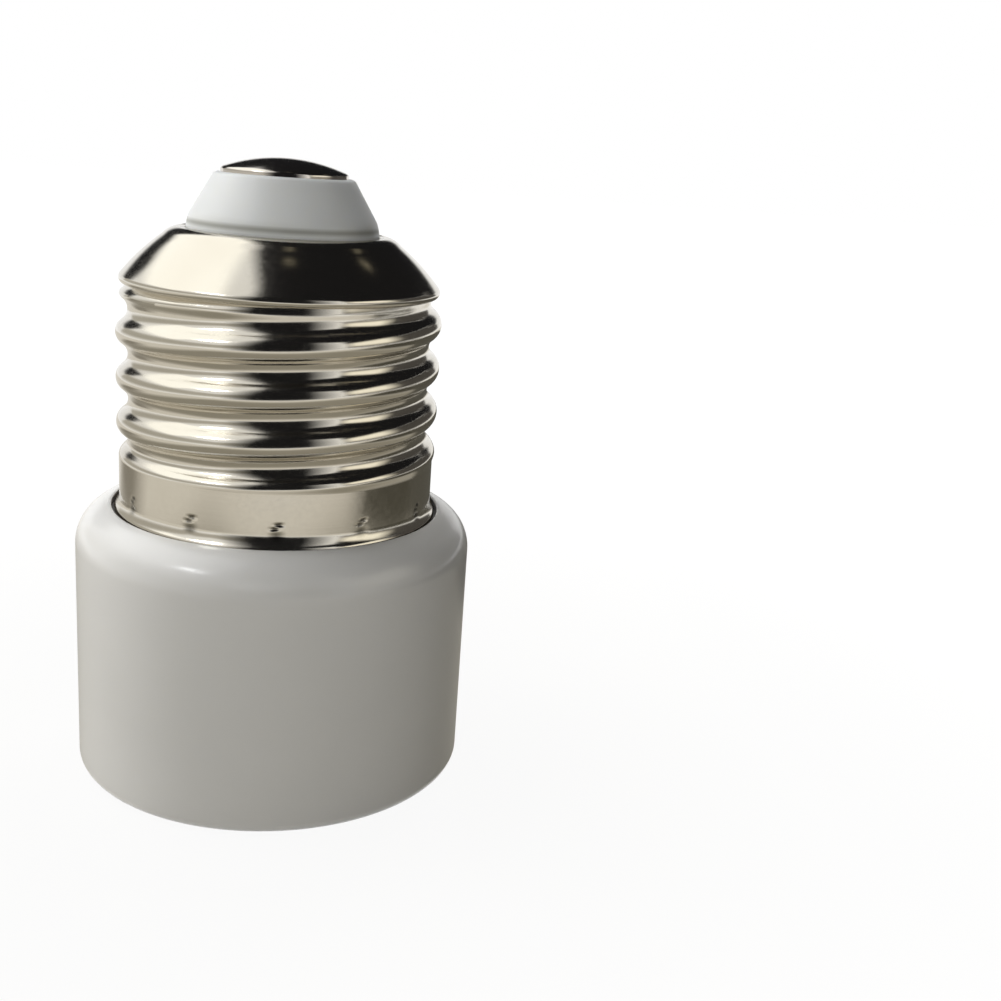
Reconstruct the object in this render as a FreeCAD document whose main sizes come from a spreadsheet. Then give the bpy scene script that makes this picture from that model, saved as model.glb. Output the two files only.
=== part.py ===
"""Screw-in socket adapter: an Edison screw base that turns a lamp holder into a two-pin outlet.

It stands on the rim of its socket face, centred on the origin, with +Z up to the centre contact.
The two pin openings lie on the X axis and the indicator lamp is on the +Y side. Sizes are in mm.
"""
import FreeCAD, Part
import math
import os
import Sketcher

SIZES = {
    # Housing
    "side_wall": (2.1, "wall of the housing round the socket cavity"),
    "cavity_room": (1.43, "room between the clip pockets and that wall"),
    "shoulder_r": (3.3, "radius of the rounded shoulder"),
    "rim_edge_r": (0.9, "round on the outer edge of the rim"),
    "ledge_h": (2.5, "height of the ledge that the face plate rests on"),
    "deck_room": (4.9, "room for tabs and leads between the clips and the deck"),
    "deck_t": (1.5, "thickness of the deck that closes the socket cavity"),
    "wire_room": (0.56, "room between the wires and the edge of the deck's hole"),
    "seat_rise": (0.5, "height of the shell's ring seat over the deck"),
    "seat_depth": (0.47, "depth of that seat below the shoulder's top"),
    "seat_gap": (0.22, "gap between the shell's lip and the seat's edge"),
    "neck_wall": (1.42, "wall of the neck inside the shell"),
    "neck_step_drop": (0.25, "how far the neck's thick foot ends below the skirt's top"),
    "neck_short": (2.0, "how far the neck ends below the shell's rim"),
    "grip_groove_h": (1.7, "height of the groove that the punch marks grip"),
    "grip_groove_depth": (0.4, "depth of that groove"),
    "post_w": (1.2, "width of the posts that hold the clips down"),
    # Screw shell
    "pitch": (3.629, "pitch of the round thread"),
    "crest_d": (26.15, "outer diameter of the thread"),
    "thread_depth": (0.945, "depth of the thread from crest to root"),
    "sheet_t": (0.35, "thickness of the shell's sheet"),
    "skirt_drop": (0.175, "how far the plain skirt lies inside the crests"),
    "skirt_h": (4.55, "height of the skirt over the seat"),
    "skirt_step": (0.03, "step down from the skirt to the thread"),
    "lip_flare": (0.4, "how far the flared lip stands out of the skirt"),
    "lip_h": (1.35, "height of the flared lip"),
    "lip_hollow": (0.12, "distance of the lip's middle from the skirt"),
    "rim_drop": (0.275, "how far the dome's rim lies inside the crests"),
    "shell_rim_h": (18.89, "height of the dome's rim over the seat"),
    "shell_rim_edge": (0.45, "round of the dome's rolled rim"),
    "dome_h": (4.09, "height of the dome over its rim"),
    "hole_step": (1.4, "width of the dome's top between its hole and the cone"),
    "dome_round": (0.55, "drop of the rounded corner between the cone and the top"),
    "shell_hole_r": (7.8, "radius of the hole for the nose"),
    "first_crest_drop": (2.95, "drop of the front crest below the dome's rim"),
    "run_out": (1.1, "length over which the thread fades at each end"),
    "thread_sides": (32, "flat sides of the thread round the shell"),
    "thread_steps": (8, "flat steps across one turn of the thread"),
    "mark_count": (12, "number of punch marks round the skirt"),
    "mark_h": (2.05, "height of the punch marks over the seat"),
    "mark_w": (1.1, "width of a punch mark"),
    "mark_l": (0.9, "height of a punch mark"),
    "mark_depth": (0.32, "depth of each punch mark"),
    "shell_gap": (0.16, "radial clearance between neck and shell"),
    # Nose insulator and centre contact
    "nose_gap": (0.1, "clearance of the nose in the shell's hole"),
    "nose_ring_h": (0.6, "height of the ring at the foot of the nose"),
    "nose_groove": (0.35, "depth of the step above that ring"),
    "nose_taper": (1.45, "how much narrower the nose is at its top edge"),
    "nose_h": (4.36, "height of the nose over the shell"),
    "nose_edge": (0.35, "bevel on the nose's top edge"),
    "nose_wall": (1.6, "wall of the hollow nose"),
    "nose_top_t": (2.75, "thickness of the nose's top"),
    "contact_inset": (0.85, "how far the contact lies inside the nose's top edge"),
    "contact_rim": (0.38, "height of the contact's straight rim"),
    "contact_dome": (0.98, "height of the contact's dome over its rim"),
    "contact_t": (0.4, "thickness of the contact's sheet"),
    "shank_r": (1.2, "radius of the contact's shank"),
    "rivet_r": (1.9, "radius of the riveted end"),
    "rivet_t": (0.5, "thickness of the riveted end"),
    "tag_t": (0.4, "thickness of the solder tag"),
    "tag_r": (3.0, "radius of the tag's ring"),
    "tag_reach": (3.8, "reach of the tag's bent tail"),
    "tag_drop": (2.6, "length of the bent tail"),
    "tag_w": (2.0, "width of the tail"),
    # Face plate
    "plate_recess": (0.35, "how far the face lies behind the rim"),
    "plate_gap": (0.06, "joint between plate and housing"),
    "rim_wall": (1.22, "width of the rim round the plate"),
    "slot_spacing": (12.7, "distance between the two blade slots"),
    "slot_w": (1.9, "width of a blade slot"),
    "slot_l": (7.9, "length of a blade slot"),
    "pin_spacing": (19.0, "distance between the two round pins"),
    "pin_hole_w": (4.7, "width of the round-ended pin opening"),
    "guide_depth": (1.6, "depth of the opening behind the plate"),
    "tower_wall": (0.9, "wall of the clip pockets"),
    "pocket_gap": (0.12, "clearance of a clip in its pocket"),
    "notch_w": (2.4, "width of the release notches"),
    "notch_depth": (0.6, "depth of the release notches"),
    "latch_w": (3.0, "width of a snap latch"),
    "latch_t": (0.8, "thickness of a snap latch"),
    "latch_h": (5.2, "length of a snap latch"),
    "latch_hook": (0.55, "reach of the latch's hook"),
    "latch_gap": (0.12, "clearance round the latch"),
    "dish_l": (5.8, "length of the oval dish round the lamp"),
    "dish_w": (3.8, "width of that dish"),
    "dish_depth": (0.45, "depth of that dish"),
    # Contact clips
    "strip_t": (0.4, "thickness of the brass strip"),
    "clip_l": (10.9, "length of a clip along the pins"),
    "blade_gap": (1.4, "gap that grips a flat blade"),
    "cradle_r": (1.95, "inner radius of the cradle for a round pin"),
    "bend_r": (0.6, "middle radius of the small bends"),
    "leaf_l": (3.4, "half length of the spring leaf"),
    "wing_l": (3.6, "reach of the wings from the middle"),
    "tab_w": (2.0, "width of the solder tab"),
    "tab_l": (3.2, "length of the solder tab"),
    "tab_hole_r": (0.5, "radius of the hole in the tab"),
    # Indicator lamp
    "collar_room": (1.2, "room between the lamp's collar and the cavity's wall"),
    "lens_r": (1.5, "radius of the red lens"),
    "lens_gap": (0.05, "clearance of the lens in the plate"),
    "lens_dome": (0.55, "height of the lens's dome"),
    "lens_flange_r": (2.15, "radius of the lens's flange"),
    "lens_flange_t": (0.6, "thickness of that flange"),
    "lamp_r": (2.0, "radius of the glow lamp's glass"),
    "lamp_l": (8.4, "length of the glass"),
    "glass_t": (0.4, "thickness of the glass"),
    "lamp_gap": (0.15, "clearance of the lamp in its collar"),
    "collar_wall": (0.6, "wall of the collar round the lamp"),
    "collar_h": (4.2, "height of that collar"),
    "electrode_r": (0.4, "radius of an electrode"),
    "electrode_l": (4.6, "length of an electrode"),
    "lead_spacing": (1.7, "distance between the lamp's two leads"),
    "lead_r": (0.25, "radius of a lead"),
    "resistor_r": (1.1, "radius of the resistor's middle"),
    "resistor_end_r": (1.3, "radius of its end caps"),
    "resistor_l": (6.2, "length of the resistor"),
    "sleeve_t": (0.2, "wall of the sleeve over the joint"),
    "sleeve_l": (2.2, "length of that sleeve"),
    # Wires and solder
    "core_r": (0.4, "radius of a wire's copper core"),
    "sheath_t": (0.4, "wall of a wire's sheath"),
    "fit_gap": (0.02, "clearance of a core in its sheath"),
    "solder_film": (0.03, "solder between a wire and what it is joined to"),
    "strip_back": (3.0, "bare length at a wire's ends"),
    "wire_foot": (0.6, "start of a wire over a clip's strip"),
    "wire_rise": (2.0, "straight rise of the line wire over the deck"),
    "wire_swing": (2.5, "sideways slack of the line wire"),
    "wire_slack_h": (6.0, "height of that slack"),
    "wire_turn": (5.0, "height of the line wire's last turn"),
    "wire_end": (4.0, "straight end of the line wire below the tag's tail"),
    "lead_rise": (3.4, "rise of the right lead over the glass"),
    "lead_out": (2.4, "sideways run of the right lead"),
    "lead_in": (4.6, "run of the right lead towards the clips"),
    "lead_hook": (0.4, "how far a lead passes the hole in its tab"),
    "lead_end": (2.6, "straight end of the right lead beside its tab"),
    "resistor_end": (1.6, "straight end of the resistor's lead beside its tab"),
    "resistor_x": (2.2, "distance of the resistor's start from the middle"),
    "resistor_in": (1.1, "how far the resistor starts inside the lamp's axis"),
    "lead_stub": (0.8, "straight lead at each end of the resistor"),
    "joint_rise": (0.3, "start of the resistor's lead over the glass"),
    "solder_r": (0.85, "radius of a solder joint"),
    "solder_l": (2.2, "length of a joint on a clip's tab"),
    "tag_solder_l": (1.8, "length of the joint on the tag's tail"),
    "shell_solder_l": (1.0, "length of the joint on the shell"),
    "wire_hole_r": (0.6, "radius of the wire hole in the neck"),
    "wire_hole_h": (3.3, "height of that hole over the seat"),
}

doc = FreeCAD.newDocument("socket_adapter")
sheet = doc.addObject("Spreadsheet::Sheet", "Sizes")
for row, (alias, (number, meaning)) in enumerate(SIZES.items(), start=1):
    sheet.set(f"A{row}", meaning)
    sheet.set(f"B{row}", str(number))
    sheet.setAlias(f"B{row}", alias)
doc.recompute()


class Size:
    """A length that knows its number and the sheet expression that gives it."""

    def __init__(self, number, text):
        self.number = number
        self.text = text

    def join(self, other, sign, number):
        return Size(number, f"({self.text} {sign} {as_size(other).text})")

    def __add__(self, other):
        return self.join(other, "+", self.number + as_size(other).number)

    def __sub__(self, other):
        return self.join(other, "-", self.number - as_size(other).number)

    def __mul__(self, other):
        return self.join(other, "*", self.number * as_size(other).number)

    def __truediv__(self, other):
        return self.join(other, "/", self.number / as_size(other).number)

    def __neg__(self):
        return Size(-self.number, f"(0 - {self.text})")


def as_size(value):
    return value if isinstance(value, Size) else Size(float(value), repr(float(value)))


def root(size):
    return Size(math.sqrt(size.number), f"sqrt({size.text})")


def share_of_angle(ratio, share):
    """The cosine and sine of a share of the angle whose cosine is the ratio."""
    angle = math.acos(ratio.number) * share
    text = f"(acos({ratio.text}) * {share})"
    return Size(math.cos(angle), f"cos({text})"), Size(math.sin(angle), f"sin({text})")


class Sheet:
    """Gives each cell of the sheet as a Size, by its alias."""

    def __getattr__(self, alias):
        return Size(float(sheet.get(alias)), f"Sizes.{alias}")


s = Sheet()

# Heights and radii that several pieces share
clip_z = s.ledge_h + s.guide_depth
clip_top_z = clip_z + s.clip_l
deck_z = clip_top_z + s.deck_room
seat_z = deck_z + s.deck_t + s.seat_rise
shell_rim_z = seat_z + s.shell_rim_h
skirt_top_z = seat_z + s.skirt_h
dome_top_z = shell_rim_z + s.dome_h
neck_top_z = shell_rim_z - s.neck_short
nose_top_z = dome_top_z + s.nose_h
nose_ceiling_z = nose_top_z - s.nose_top_t
crest_r = s.crest_d / 2
root_r = crest_r - s.thread_depth
skirt_r = crest_r - s.skirt_drop
lip_r = skirt_r + s.lip_flare
shell_rim_r = crest_r - s.rim_drop
dome_shoulder_r = s.shell_hole_r + s.hole_step
shell_inner_r = root_r - s.sheet_t
skirt_inner_r = skirt_r - s.sheet_t
neck_r = shell_inner_r - s.shell_gap
neck_foot_r = skirt_inner_r - s.shell_gap
neck_bore_r = neck_r - s.neck_wall
slot_x = s.slot_spacing / 2
pin_x = s.pin_spacing / 2
pocket_r = s.cradle_r + s.strip_t + s.pocket_gap
cavity_r = pin_x + pocket_r + s.tower_wall + s.cavity_room
body_r = cavity_r + s.side_wall
mouth_r = body_r - s.rim_wall
plate_r = mouth_r - s.plate_gap
half_strip = s.strip_t / 2
leaf_x = slot_x - s.blade_gap / 2 - half_strip
wing_x = slot_x + s.blade_gap / 2 + half_strip
wire_x = leaf_x - half_strip - s.core_r - s.solder_film
deck_hole_r = wire_x + s.core_r + s.fit_gap + s.sheath_t + s.wire_room
latch_y = cavity_r - s.latch_gap
lamp_z = s.ledge_h + s.lens_flange_t
collar_bore_r = s.lens_flange_r + s.lamp_gap
lamp_mid_y = cavity_r - s.collar_room - s.collar_wall - collar_bore_r


# Sketch and feature helpers
def bind(item, prop, size):
    size = as_size(size)
    item.setExpression(prop, size.text)


def new_body(label):
    body = doc.addObject("PartDesign::Body", label)
    body.Label = label
    return body


def new_sketch(body, name, role, lift=None):
    sketch = body.newObject("Sketcher::SketchObject", f"{body.Label}_{name}")
    plane = [item for item in body.Origin.OriginFeatures if item.Role == role][0]
    sketch.AttachmentSupport = [(plane, "")]
    sketch.MapMode = "FlatFace"
    if lift is not None:
        sketch.AttachmentOffset = FreeCAD.Placement(FreeCAD.Vector(0, 0, as_size(lift).number),
                                                    FreeCAD.Rotation())
        bind(sketch, "AttachmentOffset.Base.z", lift)
    return sketch


def pin_point(sketch, curve, end, x, y):
    """Fix one point of a curve to its place in the sketch."""
    for kind, axis, size in (("DistanceX", -2, x), ("DistanceY", -1, y)):
        if as_size(size).text == "0.0":
            sketch.addConstraint(Sketcher.Constraint("PointOnObject", curve, end, axis))
            continue
        size = as_size(size)
        index = sketch.addConstraint(Sketcher.Constraint(kind, -1, 1, curve, end, size.number))
        bind(sketch, f"Constraints[{index}]", size)


def pin_centre(sketch, curve, point, upright):
    """Fix a half circle by its centre, level with its start across an upright or flat chord."""
    kind, size = ("DistanceX", point[0]) if upright else ("DistanceY", point[1])
    size = as_size(size)
    index = sketch.addConstraint(Sketcher.Constraint(kind, -1, 1, curve, 3, size.number))
    bind(sketch, f"Constraints[{index}]", size)


def arc_between(start, end, radius, turn):
    """An arc of a radius between two points: turn is 1 to bulge left of the way, -1 right."""
    chord = end - start
    side = FreeCAD.Vector(-chord.y, chord.x, 0).normalize() * turn
    half = chord.Length / 2
    rise = radius - math.sqrt(max(radius * radius - half * half, 0.0))
    if abs(turn) > 1:
        rise = 2 * radius - rise
        side = side / abs(turn)
    return Part.Arc(start, (start + end) / 2 + side * rise, end)


def draw(sketch, points, closed=True):
    """Draw an outline. A point is (x, y), or (x, y, radius, turn) where an arc leads to the next.

    A turn of 1 or -1 is an arc under a half circle, and 2 or -2 is one over it.
    """
    spots = [FreeCAD.Vector(as_size(p[0]).number, as_size(p[1]).number, 0) for p in points]
    last = len(points) if closed else len(points) - 1
    curves = []
    for i in range(last):
        start, end = spots[i], spots[(i + 1) % len(points)]
        if len(points[i]) == 4:
            curve = arc_between(start, end, as_size(points[i][2]).number, points[i][3])
        else:
            curve = Part.LineSegment(start, end)
        curves.append(sketch.addGeometry(curve, False))
    ends = []
    for i, curve in enumerate(curves):
        flip = False
        if len(points[i]) == 4:
            begin = sketch.getPoint(curve, 1)
            flip = (begin - spots[i]).Length > 1e-6
        ends.append((2, 1) if flip else (1, 2))
    for i, curve in enumerate(curves):
        pin_point(sketch, curve, ends[i][0], points[i][0], points[i][1])
        if len(points[i]) == 4:
            radius = as_size(points[i][2])
            chord = spots[(i + 1) % len(points)] - spots[i]
            if abs(chord.Length - 2 * radius.number) < 1e-6:
                pin_centre(sketch, curve, points[i], abs(chord.x) < 1e-6)
            else:
                index = sketch.addConstraint(Sketcher.Constraint("Radius", curve, radius.number))
                bind(sketch, f"Constraints[{index}]", radius)
        if i + 1 < len(curves) or closed:
            after = (i + 1) % len(curves)
            sketch.addConstraint(
                Sketcher.Constraint("Coincident", curve, ends[i][1], curves[after], ends[after][0]))
    if not closed:
        pin_point(sketch, curves[-1], ends[-1][1], points[-1][0], points[-1][1])


def draw_circle(sketch, x, y, radius):
    centre = FreeCAD.Vector(as_size(x).number, as_size(y).number, 0)
    circle = sketch.addGeometry(Part.Circle(centre, FreeCAD.Vector(0, 0, 1), as_size(radius).number))
    pin_point(sketch, circle, 3, x, y)
    index = sketch.addConstraint(Sketcher.Constraint("Radius", circle, as_size(radius).number))
    bind(sketch, f"Constraints[{index}]", radius)


def round_points(x, y, radius, angles):
    """Points on an arc about (x, y), at these angles in degrees, that draw it in short flats."""
    return [(x + radius * round(math.cos(math.radians(angle)), 5),
             y + radius * round(math.sin(math.radians(angle)), 5)) for angle in angles]


def box_points(x_low, x_high, y_low, y_high):
    return [(x_low, y_low), (x_high, y_low), (x_high, y_high), (x_low, y_high)]


def revolve(body, name, points):
    """Turn an outline of (radius, height) points about the body's Z axis."""
    sketch = new_sketch(body, f"{name}_outline", "XZ_Plane")
    draw(sketch, points)
    feature = body.newObject("PartDesign::Revolution", f"{body.Label}_{name}")
    feature.Profile = sketch
    feature.ReferenceAxis = (sketch, ["V_Axis"])
    feature.Angle = 360
    return feature


def extrude(body, kind, name, sketch, length, reverse=False, midplane=False):
    feature = body.newObject(f"PartDesign::{kind}", f"{body.Label}_{name}")
    feature.Profile = sketch
    feature.Length = as_size(length).number
    bind(feature, "Length", length)
    feature.Reversed = reverse
    feature.Midplane = midplane
    return feature


def half_turn(body, name, features):
    """Repeat features after half a turn about the body's Z axis."""
    pattern = body.newObject("PartDesign::PolarPattern", f"{body.Label}_{name}")
    pattern.Originals = features
    axis = [item for item in body.Origin.OriginFeatures if item.Role == "Z_Axis"][0]
    pattern.Axis = (axis, [""])
    pattern.Angle = 360
    pattern.Occurrences = 2
    body.Tip = pattern
    return pattern


def add_shape(label, shape):
    feature = doc.addObject("Part::Feature", label)
    feature.Label = label
    feature.Shape = shape
    return feature


def turned_solid(points, flats=4):
    """A solid of revolution from (radius, height) numbers.

    A point with two more numbers starts an arc through them, drawn in this many flats.
    """
    spots = []
    for start, end in zip(points, points[1:] + points[:1]):
        a = FreeCAD.Vector(start[0], 0, start[1])
        spots.append(a)
        if len(start) == 4:
            arc = Part.Arc(a, FreeCAD.Vector(start[2], 0, start[3]), FreeCAD.Vector(end[0], 0, end[1]))
            spots.extend(arc.toShape().discretize(flats + 1)[1:-1])
    face = Part.Face(Part.makePolygon(spots + spots[:1]))
    return face.revolve(FreeCAD.Vector(0, 0, 0), FreeCAD.Vector(0, 0, 1), 360)


def round_path(points, bend):
    """Straight runs between the points, joined by tangent arcs of up to the bend radius."""
    spots = [FreeCAD.Vector(*point) for point in points]
    edges = []
    start = spots[0]
    for before, corner, after in zip(spots, spots[1:], spots[2:]):
        back = (before - corner).normalize()
        ahead = (after - corner).normalize()
        half = back.getAngle(ahead) / 2
        reach = min((before - corner).Length, (after - corner).Length) * 0.45
        radius = min(bend, reach * math.tan(half))
        cut = radius / math.tan(half)
        middle_way = (back + ahead).normalize()
        middle = corner + middle_way * (radius / math.sin(half) - radius)
        edges.append(Part.makeLine(start, corner + back * cut))
        edges.append(Part.Arc(corner + back * cut, middle, corner + ahead * cut).toShape())
        start = corner + ahead * cut
    edges.append(Part.makeLine(start, spots[-1]))
    return Part.Wire(edges)


def round_bar(path, radius, sides=10):
    """A bar of nearly round section, with flat sides, along a path."""
    first = path.OrderedEdges[0]
    start = first.valueAt(first.FirstParameter)
    way = first.tangentAt(first.FirstParameter)
    turn = FreeCAD.Rotation(FreeCAD.Vector(0, 0, 1), way)
    corners = [start + turn.multVec(FreeCAD.Vector(radius * math.cos(2 * math.pi * i / sides),
                                                   radius * math.sin(2 * math.pi * i / sides), 0))
               for i in range(sides)]
    return path.makePipeShell([Part.makePolygon(corners + corners[:1])], True, False)


# Housing: a cup for the socket with a hollow neck that carries the screw shell
housing = new_body("housing")
top_inner_r = lip_r + s.seat_gap
shoulder_in = top_inner_r - body_r + s.shoulder_r
shoulder_z = seat_z + s.seat_depth
side_z = shoulder_z - root(s.shoulder_r * s.shoulder_r - shoulder_in * shoulder_in)
shoulder_turns = [share_of_angle(shoulder_in / s.shoulder_r, k / 6) for k in range(1, 6)]
groove_z = seat_z + s.mark_h - s.grip_groove_h / 2
groove_r = neck_foot_r - s.grip_groove_depth
revolve(housing, "cup", [
    (mouth_r, 0),
    (body_r - s.rim_edge_r, 0),
    *round_points(body_r - s.rim_edge_r, s.rim_edge_r, s.rim_edge_r, (-65, -40, -18)),
    (body_r, s.rim_edge_r),
    (body_r, side_z),
    *[(body_r - s.shoulder_r + s.shoulder_r * out, side_z + s.shoulder_r * up) for out, up in shoulder_turns],
    (top_inner_r, shoulder_z),
    (top_inner_r, seat_z),
    (neck_foot_r, seat_z),
    (neck_foot_r, groove_z),
    (groove_r, groove_z),
    (groove_r, groove_z + s.grip_groove_h),
    (neck_foot_r, groove_z + s.grip_groove_h),
    (neck_foot_r, skirt_top_z - s.neck_step_drop),
    (neck_r, skirt_top_z - s.neck_step_drop),
    (neck_r, neck_top_z),
    (neck_bore_r, neck_top_z),
    (neck_bore_r, deck_z + s.deck_t),
    (deck_hole_r, deck_z + s.deck_t),
    (deck_hole_r, deck_z),
    (cavity_r, deck_z),
    (cavity_r, s.ledge_h),
    (mouth_r, s.ledge_h),
])
window = new_sketch(housing, "window_outline", "YZ_Plane")
hook_z = s.ledge_h + s.latch_h - s.latch_hook * 2
draw(window, box_points(cavity_r - s.latch_t, latch_y + s.latch_hook + s.latch_gap,
                        hook_z - s.latch_gap, s.ledge_h + s.latch_h + s.latch_gap))
window_cut = extrude(housing, "Pocket", "window", window, s.latch_w + s.latch_gap * 2, midplane=True)
half_turn(housing, "windows", [window_cut])
posts = new_sketch(housing, "post_outline", "XY_Plane", clip_top_z + s.fit_gap)
post_x = wing_x
post_y = s.wing_l - s.post_w / 2
draw(posts, box_points(post_x, post_x + s.post_w, post_y, post_y + s.post_w))
draw(posts, box_points(post_x, post_x + s.post_w, -post_y - s.post_w, -post_y))
post_pad = extrude(housing, "Pad", "post", posts, s.deck_room + s.fit_gap)
half_turn(housing, "posts", [post_pad])
wire_hole = new_sketch(housing, "wire_hole_outline", "YZ_Plane")
draw_circle(wire_hole, 0, seat_z + s.wire_hole_h, s.wire_hole_r)
extrude(housing, "Pocket", "wire_hole", wire_hole, body_r)


# Screw shell: thin sheet rolled into a round thread, with a dome, a skirt and a flared lip
def fade(low, high, z):
    """0 below low, 1 above high and a smooth rise between."""
    part = min(max((z - low) / (high - low), 0.0), 1.0)
    return part * part * (3 - 2 * part)


def thread_radius(angle, z):
    """Outer radius of the rolled thread: equal round crests and roots on a right-hand helix."""
    pitch, crest, base = s.pitch.number, crest_r.number, root_r.number
    depth = crest - base
    round_r = (pitch * pitch / 4 + depth * depth) / (4 * depth)
    front_crest = (shell_rim_z - s.first_crest_drop).number
    climb = pitch * (angle + math.pi / 2) / (2 * math.pi)
    along = (z - front_crest - climb + pitch / 2) % pitch - pitch / 2
    if abs(along) <= pitch / 4:
        wave = crest - round_r + math.sqrt(round_r ** 2 - along ** 2)
    else:
        wave = base + round_r - math.sqrt(round_r ** 2 - (pitch / 2 - abs(along)) ** 2)
    top = shell_rim_z.number - s.shell_rim_edge.number
    into_dome = fade(top - s.run_out.number, top, z)
    out_of_skirt = fade(skirt_top_z.number, skirt_top_z.number + s.run_out.number, z)
    wave += (base - wave) * into_dome
    start_r = skirt_r.number - s.skirt_step.number
    return start_r + (wave - start_r) * out_of_skirt


def thread_column(index, offset, low, high):
    """The points up one side of the thread: its two ends and each helical row between them."""
    sides, steps = int(s.thread_sides.number), s.thread_steps.number
    angle = 2 * math.pi * index / sides
    step = s.pitch.number / steps
    first_row = (shell_rim_z - s.first_crest_drop).number - s.pitch.number * 8
    column = []
    for row in range(int(steps * 16)):
        z = first_row + s.pitch.number * (angle + math.pi / 2) / (2 * math.pi) + step * row
        if low + step * 0.4 < z < high - step * 0.4:
            column.append((z, row))
    column = [(low, column[0][1] - 1)] + column + [(high, column[-1][1] + 1)]
    points = []
    for z, row in column:
        radius = thread_radius(angle, z) - offset
        points.append((FreeCAD.Vector(radius * math.cos(angle), radius * math.sin(angle), z), row))
    return points


def thread_plug(offset, low, high):
    """A solid plug with the thread's surface in flat facets, moved inwards by the offset."""
    sides, steps = int(s.thread_sides.number), int(s.thread_steps.number)
    columns = [thread_column(i, offset, low, high) for i in range(sides)]
    closing = [(point, row - steps) for point, row in columns[0]]
    faces = []
    for left, right in zip(columns, columns[1:] + [closing]):
        a, b = 0, 0
        while a < len(left) - 1 or b < len(right) - 1:
            go_left = b == len(right) - 1 or (a < len(left) - 1 and left[a + 1][1] <= right[b + 1][1])
            new = left[a + 1][0] if go_left else right[b + 1][0]
            corners = [left[a][0], right[b][0], new]
            faces.append(Part.Face(Part.makePolygon(corners + corners[:1])))
            a, b = (a + 1, b) if go_left else (a, b + 1)
    for end in (0, -1):
        ring = [column[end][0] for column in columns]
        faces.append(Part.Face(Part.makePolygon(ring + ring[:1])))
    skin = Part.Shell(faces)
    skin.sewShape()
    plug = Part.Solid(skin)
    if plug.Volume < 0:
        plug.reverse()
    return plug


def dome_outline(offset):
    """The dome's outline with its rolled rim, moved inwards by the offset."""
    edge = s.shell_rim_edge.number
    rim_z = shell_rim_z.number
    centre_r = shell_rim_r.number - edge
    corner_r = dome_shoulder_r.number
    top_z = dome_top_z.number
    corner_z = top_z - s.dome_round.number
    slope = math.atan2(corner_z - rim_z, shell_rim_r.number - corner_r)
    out_r, out_z = math.sin(slope), math.cos(slope)
    roll = edge - offset
    flat_r = corner_r - s.dome_round.number * 1.6
    knee = ((corner_r + flat_r) / 2 - offset * out_r / 2, top_z - s.dome_round.number * 0.28 - offset)
    return [
        (0, rim_z - roll),
        (centre_r, rim_z - roll, centre_r + roll, rim_z),
        (centre_r + roll * out_r, rim_z + roll * out_z),
        (corner_r - offset * out_r, corner_z - offset * out_z, *knee),
        (flat_r, top_z - offset),
        (0, top_z - offset),
    ]


def skirt_outline(offset, low_z):
    """The plain skirt and its flared lip, moved inwards by the offset."""
    skirt = skirt_r.number - offset
    lip = lip_r.number - offset
    lip_z = seat_z.number + s.lip_h.number
    knee_z = seat_z.number + s.lip_h.number * 0.35
    return [
        (0, low_z),
        (lip, low_z),
        (lip, knee_z, skirt + s.lip_hollow.number, (knee_z + lip_z) / 2),
        (skirt, lip_z),
        (skirt, skirt_top_z.number),
        (0, skirt_top_z.number),
    ]


def punch(angle, grow):
    """An eight-sided point that dents the skirt, with its tip and sides moved out by grow."""
    depth = s.mark_depth.number
    half_w = s.mark_w.number + grow
    half_l = s.mark_l.number + grow
    ring = [FreeCAD.Vector(2 * depth, half_w * math.cos(math.pi * k / 4), half_l * math.sin(math.pi * k / 4))
            for k in range(8)]
    tip = FreeCAD.Vector(0, 0, 0)
    faces = [Part.Face(Part.makePolygon([tip, ring[k], ring[(k + 1) % 8], tip])) for k in range(8)]
    faces.append(Part.Face(Part.makePolygon(ring + ring[:1])))
    skin = Part.Shell(faces)
    skin.sewShape()
    point = Part.Solid(skin)
    if point.Volume < 0:
        point.reverse()
    point.translate(FreeCAD.Vector(skirt_r.number - depth - grow, 0, (seat_z + s.mark_h).number))
    point.rotate(FreeCAD.Vector(0, 0, 0), FreeCAD.Vector(0, 0, 1), math.degrees(angle))
    return point


sheet_t = s.sheet_t.number
seat_z_mm = seat_z.number
rim_roll = s.shell_rim_edge.number
plug_low_z = skirt_top_z.number - s.pitch.number / 6
plug_top_z = shell_rim_z.number - rim_roll * 0.55
outer = thread_plug(0.0, plug_low_z, plug_top_z)
outer = outer.fuse([
    turned_solid(skirt_outline(0.0, seat_z_mm)),
    turned_solid(dome_outline(0.0)),
])
inner = thread_plug(sheet_t, plug_low_z - sheet_t * 0.3, plug_top_z + sheet_t)
inner = inner.fuse([
    turned_solid(skirt_outline(sheet_t, seat_z_mm - sheet_t * 3), 2),
    turned_solid(dome_outline(sheet_t), 2),
    Part.makeCylinder(s.shell_hole_r.number, s.dome_h.number * 1.25,
                      FreeCAD.Vector(0, 0, shell_rim_z.number)),
])
punches, backs = [], []
mark_count = int(s.mark_count.number)
for i in range(mark_count):
    angle = -math.pi / 2 + 2 * math.pi * i / mark_count
    punches.append(punch(angle, 0.0))
    backs.append(punch(angle, sheet_t))
screw_shell = add_shape("screw_shell", outer.cut(punches).cut(inner.cut(backs)))

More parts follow.
